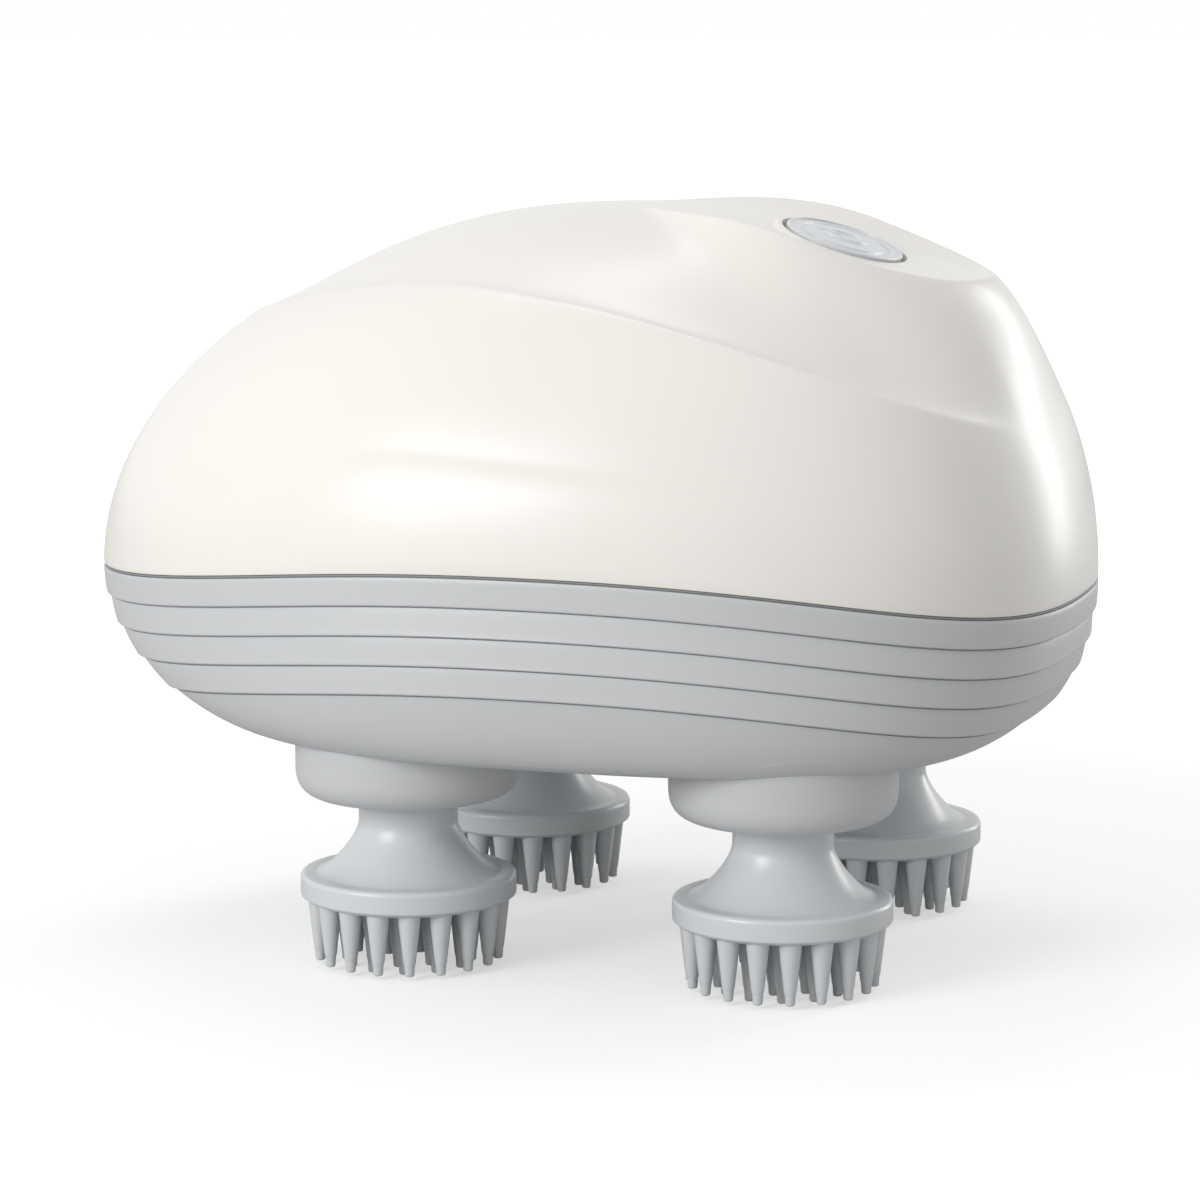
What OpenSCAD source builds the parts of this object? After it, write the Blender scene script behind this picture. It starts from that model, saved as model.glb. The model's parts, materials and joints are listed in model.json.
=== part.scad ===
// Electric scalp massager: a palm-held body standing on four turning bristle heads.
// One geared motor turns a sun gear, and the sun gear turns the four heads.
// Millimetres, +Z up, +X towards the button. The origin lies on the plane of the
// bristle tips, under the middle of the body.

/* [Body] */
// Length of the body over both ends
body_l = 124; // [119:0.5:136]
// Width of the body at its widest
body_w = 92; // [88:0.5:104]
// Height of the top above the bristle tips
body_top = 90.3; // [87.3:0.5:98.3]
// Place along the length of the widest and highest section
apex_x = 6; // [2:0.5:8]
// Roundness of the plan at the nose, 2 is an ellipse
nose_round = 2.03; // [1.95:0.01:2.4]
// Roundness of the plan at the button end
tail_round = 2.45; // [2.2:0.01:2.8]
// Height of the parting line at both ends
part_z = 44.9; // [44:0.1:47]
// Rise of the parting line at the sides
part_arch = 5.9; // [3:0.1:7]
// Gap between the two shells, filled by the gasket
part_gap = 0.4; // [0.3:0.1:1.2]
// Wall of both shells
shell_wall = 2.2; // [1.6:0.1:2.6]

/* [Upper shell] */
// Roundness of the dome at the nose
dome_nose = 1.93; // [1.8:0.01:2.2]
// Roundness of the dome at the sides
dome_side = 2.15; // [2:0.01:2.4]
// Roundness of the dome at the button end
dome_tail = 2.1; // [1.9:0.01:2.3]
// Extra height of the button end's dome, which the top facet cuts off
tail_rise = 8; // [5:0.5:11]
// Highest point of the crest line on the sides
crest_z = 82.4; // [78:0.1:84]
// Drop of the crest line from there to the nose
crest_nose_drop = 6; // [3:0.1:9]
// Height of the crest line at the button end
crest_tail_z = 65.3; // [60:0.1:70]
// Slope of the ledge behind the crest, in degrees
ledge_angle = 4; // [0:1:12]
// Slope of the hollow behind the crest at the button end, in degrees
hollow_angle = 16; // [10:1:30]
// Length of the top facet
facet_l = 44; // [38:0.5:46]
// Place along the length where the facet starts to fall
facet_start = 6; // [4:0.5:9]
// Fall of the facet as far as the button, per square millimetre of run
facet_fall = 0.0064; // [0.005:0.0002:0.0074]
// Easing of the fall past the button, per square millimetre of run
facet_lift = 0.0075; // [0:0.0005:0.009]
// Rise of the facet towards its side edges, per square millimetre
facet_dish = 0.0086; // [0:0.0002:0.01]
// Slope of the side just below the facet's edge, in degrees
facet_edge = 40; // [30:1:48]

/* [Lower shell] */
// Height of the flat underside
under_z = 27.2; // [26.6:0.1:27.6]
// Number of lapped bands below the parting line
band_count = 4; // [2:1:4]
// Height of a band
band_h = 3.5; // [2.5:0.1:3.6]
// Step from one band in to the next
band_step = 0.5; // [0.2:0.05:0.6]
// Width of the curve into the underside at the sides
under_side = 9; // [8:0.5:12]
// Width of the curve into the underside at the nose
under_nose = 35; // [30:0.5:37]
// Width of the curve into the underside at the button end
under_tail = 13; // [12:0.5:18]

/* [Drive] */
// Place of the drive axis along the length
drive_x = 7.9; // [6:0.1:9]
// Module of the gears
gear_module = 1; // [0.95:0.01:1.03]
// Teeth of the sun gear
sun_teeth = 44; // [40:1:46]
// Teeth of each head gear
head_teeth = 22; // [20:1:24]
// Thickness of the gears
gear_t = 4; // [3:0.1:4.4]
// Play between meshing teeth
backlash = 0.14; // [0.1:0.01:0.25]
// Diameter of the drive shaft
drive_shaft_d = 6; // [5:0.1:7]
// Diameter of a head shaft
head_shaft_d = 5; // [4:0.1:5.6]
// Radial play of a shaft in its bush
running_gap = 0.03; // [0.02:0.01:0.06]
// Radial play of a pressed or glued fit
seat_gap = 0.02; // [0.01:0.01:0.05]
// Clearance between parts that only lie beside each other
free_gap = 0.3; // [0.2:0.05:0.5]

/* [Heads] */
// Diameter of a head's plate
plate_d = 26; // [23:0.1:28]
// Thickness of the plate at its rim
plate_t = 3.1; // [2.6:0.1:3.6]
// Diameter of the neck
neck_d = 11.9; // [11:0.1:12.6]
// Height of the flare from the plate to the neck
flare_h = 6.4; // [5.4:0.1:7.4]
// Length of the inner bristles, which the massager stands on
bristle_l = 8; // [7:0.1:8.8]
// How much shorter the outer bristles are
outer_short = 0.5; // [0:0.1:1.5]
// Diameter of a bristle at its root
bristle_root_d = 2.8; // [2:0.1:2.9]
// Diameter of a bristle just above its tip
bristle_tip_d = 1.3; // [1:0.1:1.8]
// Bristles in the outer ring
outer_bristles = 18; // [12:1:20]
// Bristles in the middle ring
middle_bristles = 12; // [8:1:13]
// Bristles in the inner ring
inner_bristles = 6; // [4:1:7]

/* [Collars] */
// Outside diameter of a collar
collar_d = 27; // [25:0.1:28]
// Height of a collar's lower edge above the bristle tips
collar_z = 20.5; // [20:0.1:21.5]
// Rounding of that edge
collar_edge = 3.6; // [2:0.1:4]
// Height of a collar
collar_h = 9.5; // [9:0.1:10]
// Wall of the socket that holds a collar
socket_wall = 2; // [1.4:0.1:2.2]

/* [Chassis] */
// Thickness of the chassis plate
chassis_t = 2.5; // [2:0.1:3]
// Inset of the plate from the outline of the body
chassis_inset = 6.5; // [6:0.1:9]

/* [Motor and battery] */
// Diameter of the gearbox
gearbox_d = 24.4; // [20:0.1:26]
// Share of the gearbox in the drive unit's length
gearbox_share = 0.47; // [0.4:0.01:0.55]
// Diameter of the motor
motor_d = 23.6; // [20:0.1:25]
// Room between the motor's end and the top of the body
motor_headroom = 16.9; // [16:0.1:19]
// Diameter of the battery cell
cell_d = 18; // [14:0.1:18.6]
// Length of the battery cell
cell_l = 50; // [40:0.5:54]
// Distance of the battery's axis from the nose
cell_from_nose = 38; // [37:0.1:40]

/* [Button] */
// Place of the button along the length
button_x = 32; // [30.5:0.1:33]
// Length of the button, down the slope
button_l = 14.2; // [12.6:0.1:14.8]
// Width of the button
button_w = 18.8; // [17:0.1:19.6]
// How far the button stands proud
button_proud = 0.9; // [0.6:0.1:1.4]
// Travel of the button
button_travel = 0.8; // [0.5:0.05:1]
// Height of the raised lip around the button
lip_h = 0.35; // [0.2:0.05:0.6]

/* [Fasteners] */
// Diameter of the shell screws
shell_screw_d = 2.6; // [2.2:0.1:3]
// Diameter of the small screws
small_screw_d = 2; // [1.6:0.1:2.2]

/* [Hidden] */
$fn = 48;
columns = 72;
corners = [["front_left", -1, -1], ["front_right", 1, -1], ["rear_right", 1, 1], ["rear_left", -1, 1]];
head_parts = ["pad", "hub", "shaft", "gear", "clip", "collar"];

// Colours of the finishes
white_gloss = "#f3f2ed";
grey_matte = "#c6c9cb";
grey_silicone = "#bfc3c6";
grey_button = "#b4b8bd";
steel = "#b9bcc0";
brass = "#c9a24d";
acetal = "#ece9df";
dark_rubber = "#3b3d40";
white_frame = "#d9dadb";
black_plastic = "#26282b";
red_lead = "#b33a34";
blue_lead = "#3a3f9a";

// Shape of the body: where the crest turns down, the facet's teardrop, the curves below
crest_turn = 70;
facet_spread = 64;
facet_least = 1;
facet_power = 0.8;
facet_ease = 0.2;
facet_flat = 5;
under_side_power = 2.8;
under_end_power = 2.15;

// Heights of the stack, from the bristle tips up
plate_z = bristle_l;
neck_top_z = collar_z + 3.5;
neck_hole_top_z = neck_top_z + 1;
web_z = collar_z + collar_h;
web_t = 2.5;
bush_l = 4;
bush_flange_t = 1;
bush_top_z = web_z + bush_l + bush_flange_t;
thrust_gap = 0.1;
gear_z = bush_top_z + thrust_gap;
gear_top_z = gear_z + gear_t;
clip_t = 0.6;
chassis_z = gear_top_z + clip_t + 1.2;
chassis_top_z = chassis_z + chassis_t;
motor_top_z = body_top - motor_headroom;
gearbox_top_z = chassis_top_z + gearbox_share * (motor_top_z - chassis_top_z);
floor_z = under_z + shell_wall;

// Clearances and engagements that several fasteners share
screw_clear = 0.1;
screw_grip = 0.2;
boss_lift = 0.2;
recess_gap = 0.3;
drive_seat_wall = 2;

// Layout of the drive
centre_distance = gear_module * (sun_teeth + head_teeth) / 2;
head_offset = centre_distance / sqrt(2);
bush_wall = 1.5;
bush_flange = 1.2;
bush_od = head_shaft_d + 2 * bush_wall;
pilot_z = floor_z + 0.3;
drive_hub_t = 1.4;
pilot_boss_z = gear_z - drive_hub_t - 0.2;

// Screw places in plan
shell_screws_at = [[-body_l / 2 + 19.5, 0], [body_l / 2 - 12.5, 0],
                   [drive_x, -body_w / 2 + 13], [drive_x, body_w / 2 - 13]];
post_nose_x = -body_l / 2 + 23.5;
post_tail_x = body_l / 2 - 16;
posts_at = [[post_nose_x, -9.5], [post_nose_x, 9.5], [post_tail_x, -9.5], [post_tail_x, 9.5]];
screw_boss_r = shell_screw_d / 2 + 2.9;
screw_head_r = shell_screw_d;
screw_seat_z = floor_z + 8.8;
screw_boss_top = 45.6;
shell_screw_l = 13;
plug_z = under_z + 2.4;
plug_t = 2.6;
post_r = 3.1;
small_head_r = small_screw_d * 0.95;
small_pilot_r = small_screw_d / 2 - screw_grip;
small_shank_d = 2 * small_pilot_r - 0.02;
small_hole_r = small_screw_d / 2 + screw_clear;

// Button frame: w runs along the facet's normal, u down its slope
button_z = facet_z(button_x);
button_tilt = atan(2 * facet_fall * (button_x - facet_start));
button_gap = 0.6;
flange_grow = 2.2;
rib_t = 1.6;
lip_w = 0.8;
flange_top_w = -shell_wall - 0.15;
flange_t = 1.2;
flange_low_w = flange_top_w - flange_t;
rib_low_w = flange_low_w - button_travel - 0.9;
boot_t = 0.9;
retainer_t = 1.4;
retainer_top_w = rib_low_w - boot_t;
retainer_low_w = retainer_top_w - retainer_t;
board_t = 1.6;
switch_h = 3.4;
board_top_w = retainer_top_w - switch_h - 0.6;
board_low_w = board_top_w - board_t;
board_end_room = 46;
board_end_share = 0.875;
board_u = [-14, board_end_share * (body_l / 2 - board_end_room)];
board_w = 28;
board_inset = 3;
board_bite = 3;
board_post_r = 2.4;
board_holes = [for (u = [board_u[0] + board_inset, board_u[1] - board_inset]) for (v = [-1, 1])
    [u, v * (board_w / 2 - board_inset)]];

// Gasket
gasket_in = 0.35;
gasket_w = 1.4;

// Heads: the hub inside the pad, the shaft, its clip and its seal
hub_r = plate_d / 2 - 3.6;
hub_stem_r = neck_d / 2 - 1.5;
hub_z = plate_z + 0.9;
hub_t = 1.5;
hub_top_z = neck_top_z - 0.2;
shaft_low_z = hub_z + 1.4;
shaft_top_z = chassis_top_z + 0.4;
flat_depth = 0.6;
clip_groove = 0.5;
clip_lift = 0.1;
seal_r = head_shaft_d / 2 + 4;
seal_lip_r = head_shaft_d / 2 + 2 * running_gap;
seal_z = neck_hole_top_z + 1;
pressure = 20;

// Motor
motor_screw_y = gearbox_d / 2 - 3.6;
motor_head_z = chassis_z + 1.3;
motor_screw_l = 5;
motor_tab_y = 5;

// Battery and its cradle
cell_x = cell_from_nose - body_l / 2;
cell_gap = 0.1;
cradle_base = 1.6;
cradle_half = head_offset - bush_od / 2 - bush_flange - 0.8;
cradle_arm_l = 8;
cradle_arm_t = 1.5;
cradle_mouth = 4.5;
cell_z = chassis_top_z + cradle_base + cell_d / 2 + 0.15;
cell_nub = 0.9;
cradle_holes = [for (s = [-1, 1]) [cell_x - cell_d / 2 + 2.4, s * (cradle_half - cradle_arm_l - 2.6)]];

// Charging contacts, set in the third band at the nose
contact_r = 1.5;
contact_y = 5.5;
contact_z = part_z - 2.4 * band_h;
contact_depth = part_z - contact_z;
contact_inset = under_inset(180, contact_depth, under_depth(180)) + band_step;
contact_out_x = apex_x - radius_at(180) + contact_inset + 0.9;
contact_l = 10.2;
carrier_x = contact_out_x + contact_l - 2.6;
lead_hole_x = contact_out_x + contact_l + 1.8;

// Connectors on the board, and the leads that plug into them
connector_u = -1;
connector_v = 6.5;
connector_w = 5;
connector_h = 2.2;
lead_r = 0.55;
lead_pitch = 1.2;
wire_steps = 12;

// ---------------------------------------------------------------- body surface

function mix(a, b, u) = a + (b - a) * u;
function clamp01(u) = min(1, max(0, u));
function smooth(u) = let (c = clamp01(u)) c * c * (3 - 2 * c);
function signed_pow(v, p) = sign(v) * pow(abs(v), p);
function bezier(a, b, c, d, u) =
    let (v = 1 - u) v * v * v * a + 3 * v * v * u * b + 3 * v * u * u * c + u * u * u * d;
// Degrees from the nose, 0 at the nose and 180 at the button end
function from_nose(t) = 180 - abs(((t + 180) % 360 + 360) % 360 - 180);

// Plan outline at the parting line
function outline(t) =
    let (end = (1 + cos(t)) / 2,
         reach = mix(body_l / 2 + apex_x, body_l / 2 - apex_x, end),
         power = 2 / mix(nose_round, tail_round, end))
    [reach * signed_pow(cos(t), power), body_w / 2 * signed_pow(sin(t), power)];
function radius_at(t) = norm(outline(t));
function bearing(t) = let (p = outline(t)) atan2(p[1], p[0]);
function parting(t) = part_z + part_arch * pow(abs(sin(t)), 3);
function place(t, r, z) = [apex_x + r * cos(bearing(t)), r * sin(bearing(t)), z];

// Crest line, and how sharply it stands out
function crest(t) =
    let (a = from_nose(t))
    a < crest_turn
        ? crest_z - crest_nose_drop * (1 - cos(180 * (crest_turn - a) / crest_turn)) / 2
        : (crest_z + crest_tail_z) / 2
          + (crest_z - crest_tail_z) / 2 * cos(180 * (a - crest_turn) / (180 - crest_turn));
function crest_share(t) =
    let (a = from_nose(t)) (1 - smooth((a - 136) / 32)) * mix(0.55, 1, smooth((a - 5) / 55));

// Side of the dome from the parting line (v = 0) up to the crest (v = 1)
function dome_power(t) = mix(dome_side, cos(t) > 0 ? dome_tail : dome_nose, pow(cos(t), 2));
function dome_height(t) = body_top + tail_rise * pow(max(0, cos(t)), 2) - parting(t);
function side(t, v) =
    let (n = dome_power(t), h = dome_height(t),
         turn = v * asin(pow((crest(t) - parting(t)) / h, n / 2)))
    [radius_at(t) * pow(cos(turn), 2 / n), parting(t) + h * pow(sin(turn), 2 / n)];

// Top facet, a teardrop that starts at the apex: it bends down as far as the button, eases
// from there, and curls up at its sides
function facet_z(x, y = 0) =
    let (run = min(max(0, x - facet_start), button_x - facet_start), past = max(0, x - button_x),
         fall = facet_fall * run * (run + 2 * past) - facet_lift * past * past)
    body_top - fall + facet_dish * pow(max(0, abs(y) - facet_flat), 2);
function facet_r(t) =
    let (turn = cos(90 * min(2, abs(bearing(t)) / facet_spread)),
         rise = (turn + norm([turn, facet_ease])) / (1 + norm([1, facet_ease])))
    facet_least + (facet_l - facet_least) * pow(rise, facet_power);
function facet_point(t, r) = [r, facet_z(apex_x + r * cos(bearing(t)), r * sin(bearing(t)))];

// Hollow between the crest (v = 0) and the facet (v = 1), as one Bezier curve
function hollow(t, v) =
    let (a = side(t, 1), before = side(t, 0.995), d = facet_point(t, facet_r(t)), reach = norm(a - d),
         open = smooth(facet_r(t) / 34), share = crest_share(t), right = smooth((from_nose(t) - 95) / 55),
         dome_slope = atan2(a[1] - before[1], before[0] - a[0]),
         start = mix(dome_slope, mix(ledge_angle, hollow_angle, right), share),
         end = facet_edge * open,
         start_reach = reach * mix(0.33, mix(0.10, 0.28, right), share),
         end_reach = reach * mix(0.54, 0.30, open),
         b = a + start_reach * [-cos(start), sin(start)],
         c = d + end_reach * [cos(end), -sin(end)])
    bezier(a, b, c, d, v);

// Upper meridian: 0 to 1 side, 1 to 2 hollow, 2 to 3 facet
function upper(t, s) =
    s <= 1 ? side(t, s) : s <= 2 ? hollow(t, s - 1) : facet_point(t, facet_r(t) * (3 - s));
// The same meridian, moved in by a wall
function upper_in(t, s, wall) =
    let (p = upper(t, s), q = upper(t, max(0, s - 0.02)), w = upper(t, s + 0.02),
         along = (w - q) / norm(w - q))
    s == 0 ? [p[0] - wall, p[1]] : [p[0] - wall * along[1], p[1] + wall * along[0]];

// Lower envelope: how far the wall has come in at a depth below the parting line
function end_share(t) = pow(abs(cos(t)), 5);
function under_depth(t) = parting(t) - under_z;
function under_inset(t, dz, depth) =
    let (n = mix(under_side_power, under_end_power, end_share(t)),
         end = (cos(t) > 0 ? under_tail : under_nose) * (1 + pow(sin(bearing(t)), 2) / 2),
         e = mix(under_side, end, end_share(t)))
    e * (1 - pow(max(0, 1 - pow(min(1, dz / depth), n)), 1 / n));
// Lower meridian rows: two for each band, then the curve into the underside
under_turns = [0.25, 0.45, 0.62, 0.76, 0.88, 0.96, 1];
function under_point(t, turn, depth, start, inset) =
    let (dz = mix(start, depth, sin(90 * turn)))
    [radius_at(t) - under_inset(t, dz, depth) - inset, parting(t) - dz];
function lower_rows(t) = concat(
    [for (k = [0:band_count - 1]) for (low = [0, 1])
        let (dz = (k + low) * band_h)
        [radius_at(t) - under_inset(t, dz, under_depth(t)) - (low == 0 ? band_step * min(k, 1) : 0),
         parting(t) - (k + low == 0 ? part_gap / 2 : dz)]],
    [under_point(t, 0, under_depth(t), band_count * band_h, band_step)],
    [for (turn = under_turns) under_point(t, turn, under_depth(t), band_count * band_h, band_step)]);
inner_turns = [0, 0.25, 0.45, 0.65, 0.82, 1];
function lower_in_rows(t, wall) =
    [for (turn = inner_turns)
        let (p = under_point(t, turn, under_depth(t) - wall, 0, wall + band_step))
        turn == 0 ? [p[0], parting(t) - part_gap / 2] : p];

// ---------------------------------------------------------------- solid helpers

function turns() = [for (i = [0:columns - 1]) i * 360 / columns];
function joined(lists) = [for (l = lists) for (p = l) p];
// Two triangles for each cell between ring a and ring b, of n points each
function strip(a, b, n) =
    [for (i = [0:n - 1]) let (j = (i + 1) % n) each [[a + i, b + i, b + j], [a + i, b + j, a + j]]];
function fan(a, tip, n, up) =
    [for (i = [0:n - 1]) let (j = (i + 1) % n) up ? [a + i, tip, a + j] : [a + j, tip, a + i]];

// Solid skin through rings of points, closed by a flat cap at each end
module capped(rings) {
    n = len(rings[0]);
    last = (len(rings) - 1) * n;
    polyhedron(joined(rings), concat(
        [[for (i = [0:n - 1]) i]],
        [for (k = [0:len(rings) - 2]) each strip(k * n, (k + 1) * n, n)],
        [[for (i = [n - 1:-1:0]) last + i]]));
}
// Tube of rings that runs out, round and back to its first ring
module looped(rings) {
    n = len(rings[0]);
    m = len(rings);
    polyhedron(joined(rings), [for (k = [0:m - 1]) each strip(k * n, ((k + 1) % m) * n, n)]);
}
function ring_of(rows, k) = [for (i = [0:columns - 1]) place(turns()[i], rows[i][k][0], rows[i][k][1])];

// Ring of the upper shell at s, moved in by a wall; the lowest one is raised by lift
function upper_ring(s, wall, lift) =
    [for (t = turns()) let (p = wall > 0 ? upper_in(t, s, wall) : upper(t, s))
        place(t, p[0], p[1] + (s == 0 ? lift : 0))];

// Everything inside the mid-wall surface of the upper shell, open below
module upper_core() {
    rows = [0, 0.3, 0.6, 0.85, 1.35, 1.65, 2];
    skirt = [for (t = turns()) place(t, upper_in(t, 0, shell_wall / 2)[0], chassis_z)];
    rings = concat([skirt], [for (s = rows) upper_ring(s, shell_wall / 2, 0)]);
    n = columns;
    tip = len(rings) * n;
    polyhedron(concat(joined(rings), [[apex_x, 0, body_top - shell_wall / 2]]), concat(
        [[for (i = [0:n - 1]) i]],
        [for (k = [0:len(rings) - 2]) each strip(k * n, (k + 1) * n, n)],
        fan((len(rings) - 1) * n, tip, n, true)));
}
// Everything inside the mid-wall surface of the lower shell, open above
module lower_core() {
    rows = [for (t = turns()) lower_in_rows(t, shell_wall / 2)];
    rim = [for (t = turns()) place(t, radius_at(t) - shell_wall / 2 - band_step, screw_boss_top + 10)];
    capped(concat([for (k = [len(inner_turns) - 1:-1:0]) ring_of(rows, k)], [rim]));
}

module oval(l, w, h) {
    linear_extrude(h) polygon([for (a = [0:7.5:359]) [l / 2 * cos(a), w / 2 * sin(a)]]);
}
module grown_oval(grow, h) {
    oval(button_l + 2 * grow, button_w + 2 * grow, h);
}
module at_button(w = 0) {
    translate([button_x, 0, button_z]) rotate([0, button_tilt, 0]) translate([0, 0, w]) children();
}
module at_head(c) {
    translate([drive_x + c[1] * head_offset, c[2] * head_offset, 0]) children();
}
module at_heads() {
    for (c = corners) at_head(c) children();
}
module at_drive() {
    translate([drive_x, 0, 0]) children();
}
module at_each(places) {
    for (p = places) translate([p[0], p[1], 0]) children();
}
module at_motor_screws() {
    at_drive() for (s = [-1, 1]) translate([0, s * motor_screw_y, 0]) children();
}
module at_contacts() {
    for (s = [-1, 1]) translate([contact_out_x, s * contact_y, contact_z]) rotate([0, 90, 0]) children();
}
// Round solid between two heights
module drum(r, low, high) {
    translate([0, 0, low]) cylinder(r = r, h = high - low);
}
// Round ring between two heights
module pipe(r, bore, low, high) {
    difference() {
        drum(r, low, high);
        drum(bore, low - 1, high + 1);
    }
}
// Screw whose head's underside lies at z = 0, with its shank below
module screw(d, length, head_r, head_h) {
    difference() {
        union() {
            cylinder(r = head_r, h = head_h);
            translate([0, 0, -length]) cylinder(r = d / 2, h = length + 0.01);
        }
        for (a = [0, 90])
            rotate(a) translate([-head_r * 0.55, -d * 0.11, head_h * 0.45])
                cube([head_r * 1.1, d * 0.22, head_h]);
    }
}
// Round wire swept along a list of points, with eight sides
module wire(path, r) {
    sides = 8;
    n = len(path);
    along = [for (i = [0:n - 1])
        let (d = path[min(n - 1, i + 1)] - path[max(0, i - 1)]) d / norm(d)];
    rings = [for (i = [0:n - 1])
        let (across = cross(along[i], abs(along[i][1]) > 0.9 ? [1, 0, 0] : [0, 1, 0]),
             e = across / norm(across), f = cross(along[i], e))
        [for (k = [0:sides - 1]) let (a = 360 * k / sides) path[i] + r * (cos(a) * e + sin(a) * f)]];
    capped(rings);
}
// Smooth path from a to d, drawn towards b and c on its way
function bend(a, b, c, d) = [for (i = [0:wire_steps]) bezier(a, b, c, d, i / wire_steps)];

// ---------------------------------------------------------------- gears

function unroll(r, base) = r <= base ? 0 : sqrt(pow(r / base, 2) - 1) * 180 / PI - acos(base / r);
function gear_points(teeth) =
    let (pitch = gear_module * teeth / 2, base = pitch * cos(pressure), root = pitch - 1.25 * gear_module,
         radii = [root, max(base, root + 0.1), pitch, pitch + gear_module * 0.55, pitch + gear_module],
         play = backlash / 2 / pitch * 180 / PI,
         half = [for (r = radii) 90 / teeth - play + unroll(pitch, base) - unroll(r, base)],
         flank = function (a, i) radii[i] * [cos(a), sin(a)])
    [for (k = [0:teeth - 1]) let (middle = k * 360 / teeth)
        each concat([for (i = [0:4]) flank(middle - half[i], i)],
                    [for (i = [4:-1:0]) flank(middle + half[i], i)])];
// Turn of a head gear that puts it in mesh with the sun gear
function mesh_turn(bearing_to) =
    let (phase = bearing_to * sun_teeth / 360)
    bearing_to + 180 + (phase - floor(phase) - 0.5) * 360 / head_teeth;

// Shaft section with one flat; the hole for it is wider by a gap
module keyed(r, gap, low, high) {
    difference() {
        drum(r + gap, low, high);
        translate([r + gap - flat_depth, -2 * r, low - 1]) cube([2 * r, 4 * r, high - low + 2]);
    }
}

// ---------------------------------------------------------------- heads

module hub_shape(gap) {
    drum(hub_r + gap, hub_z - gap, hub_z + hub_t + gap);
    drum(hub_stem_r + gap, hub_z, neck_top_z + (gap > 0 ? 1 : -0.2));
}
module bristle(length) {
    root_r = bristle_root_d / 2;
    tip_r = bristle_tip_d / 2;
    ball = [for (a = [0:18:72]) [tip_r * cos(a), -length + tip_r * (1 - sin(a))]];
    tip = [[tip_r * 0.3, -length], [0, -length]];
    rotate_extrude($fn = 20)
        polygon(concat([[0, 0.4], [root_r, 0.4], [root_r, 0], [tip_r * 1.25, -length * 0.72]], ball, tip));
}
module bristle_ring(count, r, length) {
    for (k = [0:count - 1]) rotate((k + 0.5) * 360 / count) translate([r, 0, plate_z]) bristle(length);
}
module pad() {
    rim = plate_d / 2;
    edge = min(1.2, plate_t - 0.8);
    neck = neck_d / 2;
    top = plate_z + plate_t;
    foot = rim - edge - 0.6;
    bead = [for (a = [0:15:90]) [rim - edge + edge * cos(a), top - edge + edge * sin(a)]];
    flare_top = top + 0.2 + flare_h;
    flare = [for (i = [0:10])
        bezier([foot, top], [mix(foot, neck, 0.28), top + 0.2], [neck, flare_top - 0.35 * flare_h],
               [neck, flare_top], i / 10)];
    color(grey_silicone) union() {
        difference() {
            rotate_extrude()
                polygon(concat([[0, plate_z], [rim - 0.6, plate_z], [rim, plate_z + 0.4]], bead, flare,
                               [[neck, neck_top_z], [0, neck_top_z]]));
            hub_shape(seat_gap);
        }
        bristle_ring(outer_bristles, rim - 0.75 - bristle_root_d / 2, bristle_l - outer_short);
        bristle_ring(middle_bristles, rim * 0.58, bristle_l);
        bristle_ring(inner_bristles, rim * 0.3, bristle_l);
    }
}
module hub() {
    color("#9aa0a6") difference() {
        hub_shape(0);
        keyed(head_shaft_d / 2, seat_gap, shaft_low_z - 0.1, hub_top_z + 1);
    }
}
module head_shaft() {
    r = head_shaft_d / 2;
    color(steel) difference() {
        union() {
            keyed(r, 0, shaft_low_z, hub_top_z);
            drum(r, hub_top_z, gear_z);
            keyed(r, 0, gear_z, shaft_top_z);
        }
        pipe(r + 1, r - clip_groove, gear_top_z + clip_lift / 2, gear_top_z + clip_t + 1.5 * clip_lift);
    }
}
module head_gear(c) {
    hub_ring = head_shaft_d / 2 + 2.6;
    color(acetal) difference() {
        translate([0, 0, gear_z]) rotate(mesh_turn(atan2(c[2], c[1])))
            linear_extrude(gear_t) polygon(gear_points(head_teeth));
        keyed(head_shaft_d / 2, seat_gap, gear_z - 1, gear_top_z + 1);
        pipe(gear_module * head_teeth / 2 - 3, hub_ring, gear_z + gear_t - 0.9, gear_top_z + 1);
    }
}
module clip() {
    color(steel) difference() {
        pipe(head_shaft_d / 2 + 1.7, head_shaft_d / 2 - clip_groove + seat_gap,
             gear_top_z + clip_lift, gear_top_z + clip_lift + clip_t);
        translate([0, -1.3, gear_top_z - 1]) cube([head_shaft_d, 2.6, clip_t + 3]);
    }
}

module collar() {
    r = collar_d / 2;
    foot = [for (a = [0:15:90])
        [r - collar_edge + collar_edge * sin(a), collar_z + collar_edge * (1 - cos(a))]];
    bore = neck_d / 2 + free_gap;
    seat = seal_r + seat_gap;
    top = web_z - seat_gap;
    color(grey_matte) rotate_extrude()
        polygon(concat([[bore, collar_z]], foot,
                       [[r, top], [r - 1.8, top], [r - 1.8, collar_z + 3.4], [seat + 1.6, collar_z + 3.4],
                        [seat + 1.6, top], [seat, top], [seat, seal_z], [head_shaft_d / 2 + 1.4, seal_z],
                        [head_shaft_d / 2 + 1.4, neck_hole_top_z], [bore, neck_hole_top_z]]));
}
module shaft_seals() {
    color(dark_rubber) at_heads() rotate_extrude()
        polygon([[seal_lip_r, seal_z + 1], [seal_lip_r + 1.5, seal_z + 0.05], [seal_r, seal_z + 0.05],
                 [seal_r, web_z - 0.4], [seal_lip_r + 1.5, web_z - 0.4], [seal_lip_r, web_z - 1.6]]);
}
module lower_bushes() {
    bore = head_shaft_d / 2 + running_gap;
    color(brass) at_heads() union() {
        pipe(bush_od / 2, bore, web_z + 0.1, web_z + bush_l);
        pipe(bush_od / 2 + bush_flange, bore, web_z + bush_l, bush_top_z);
    }
}
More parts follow.
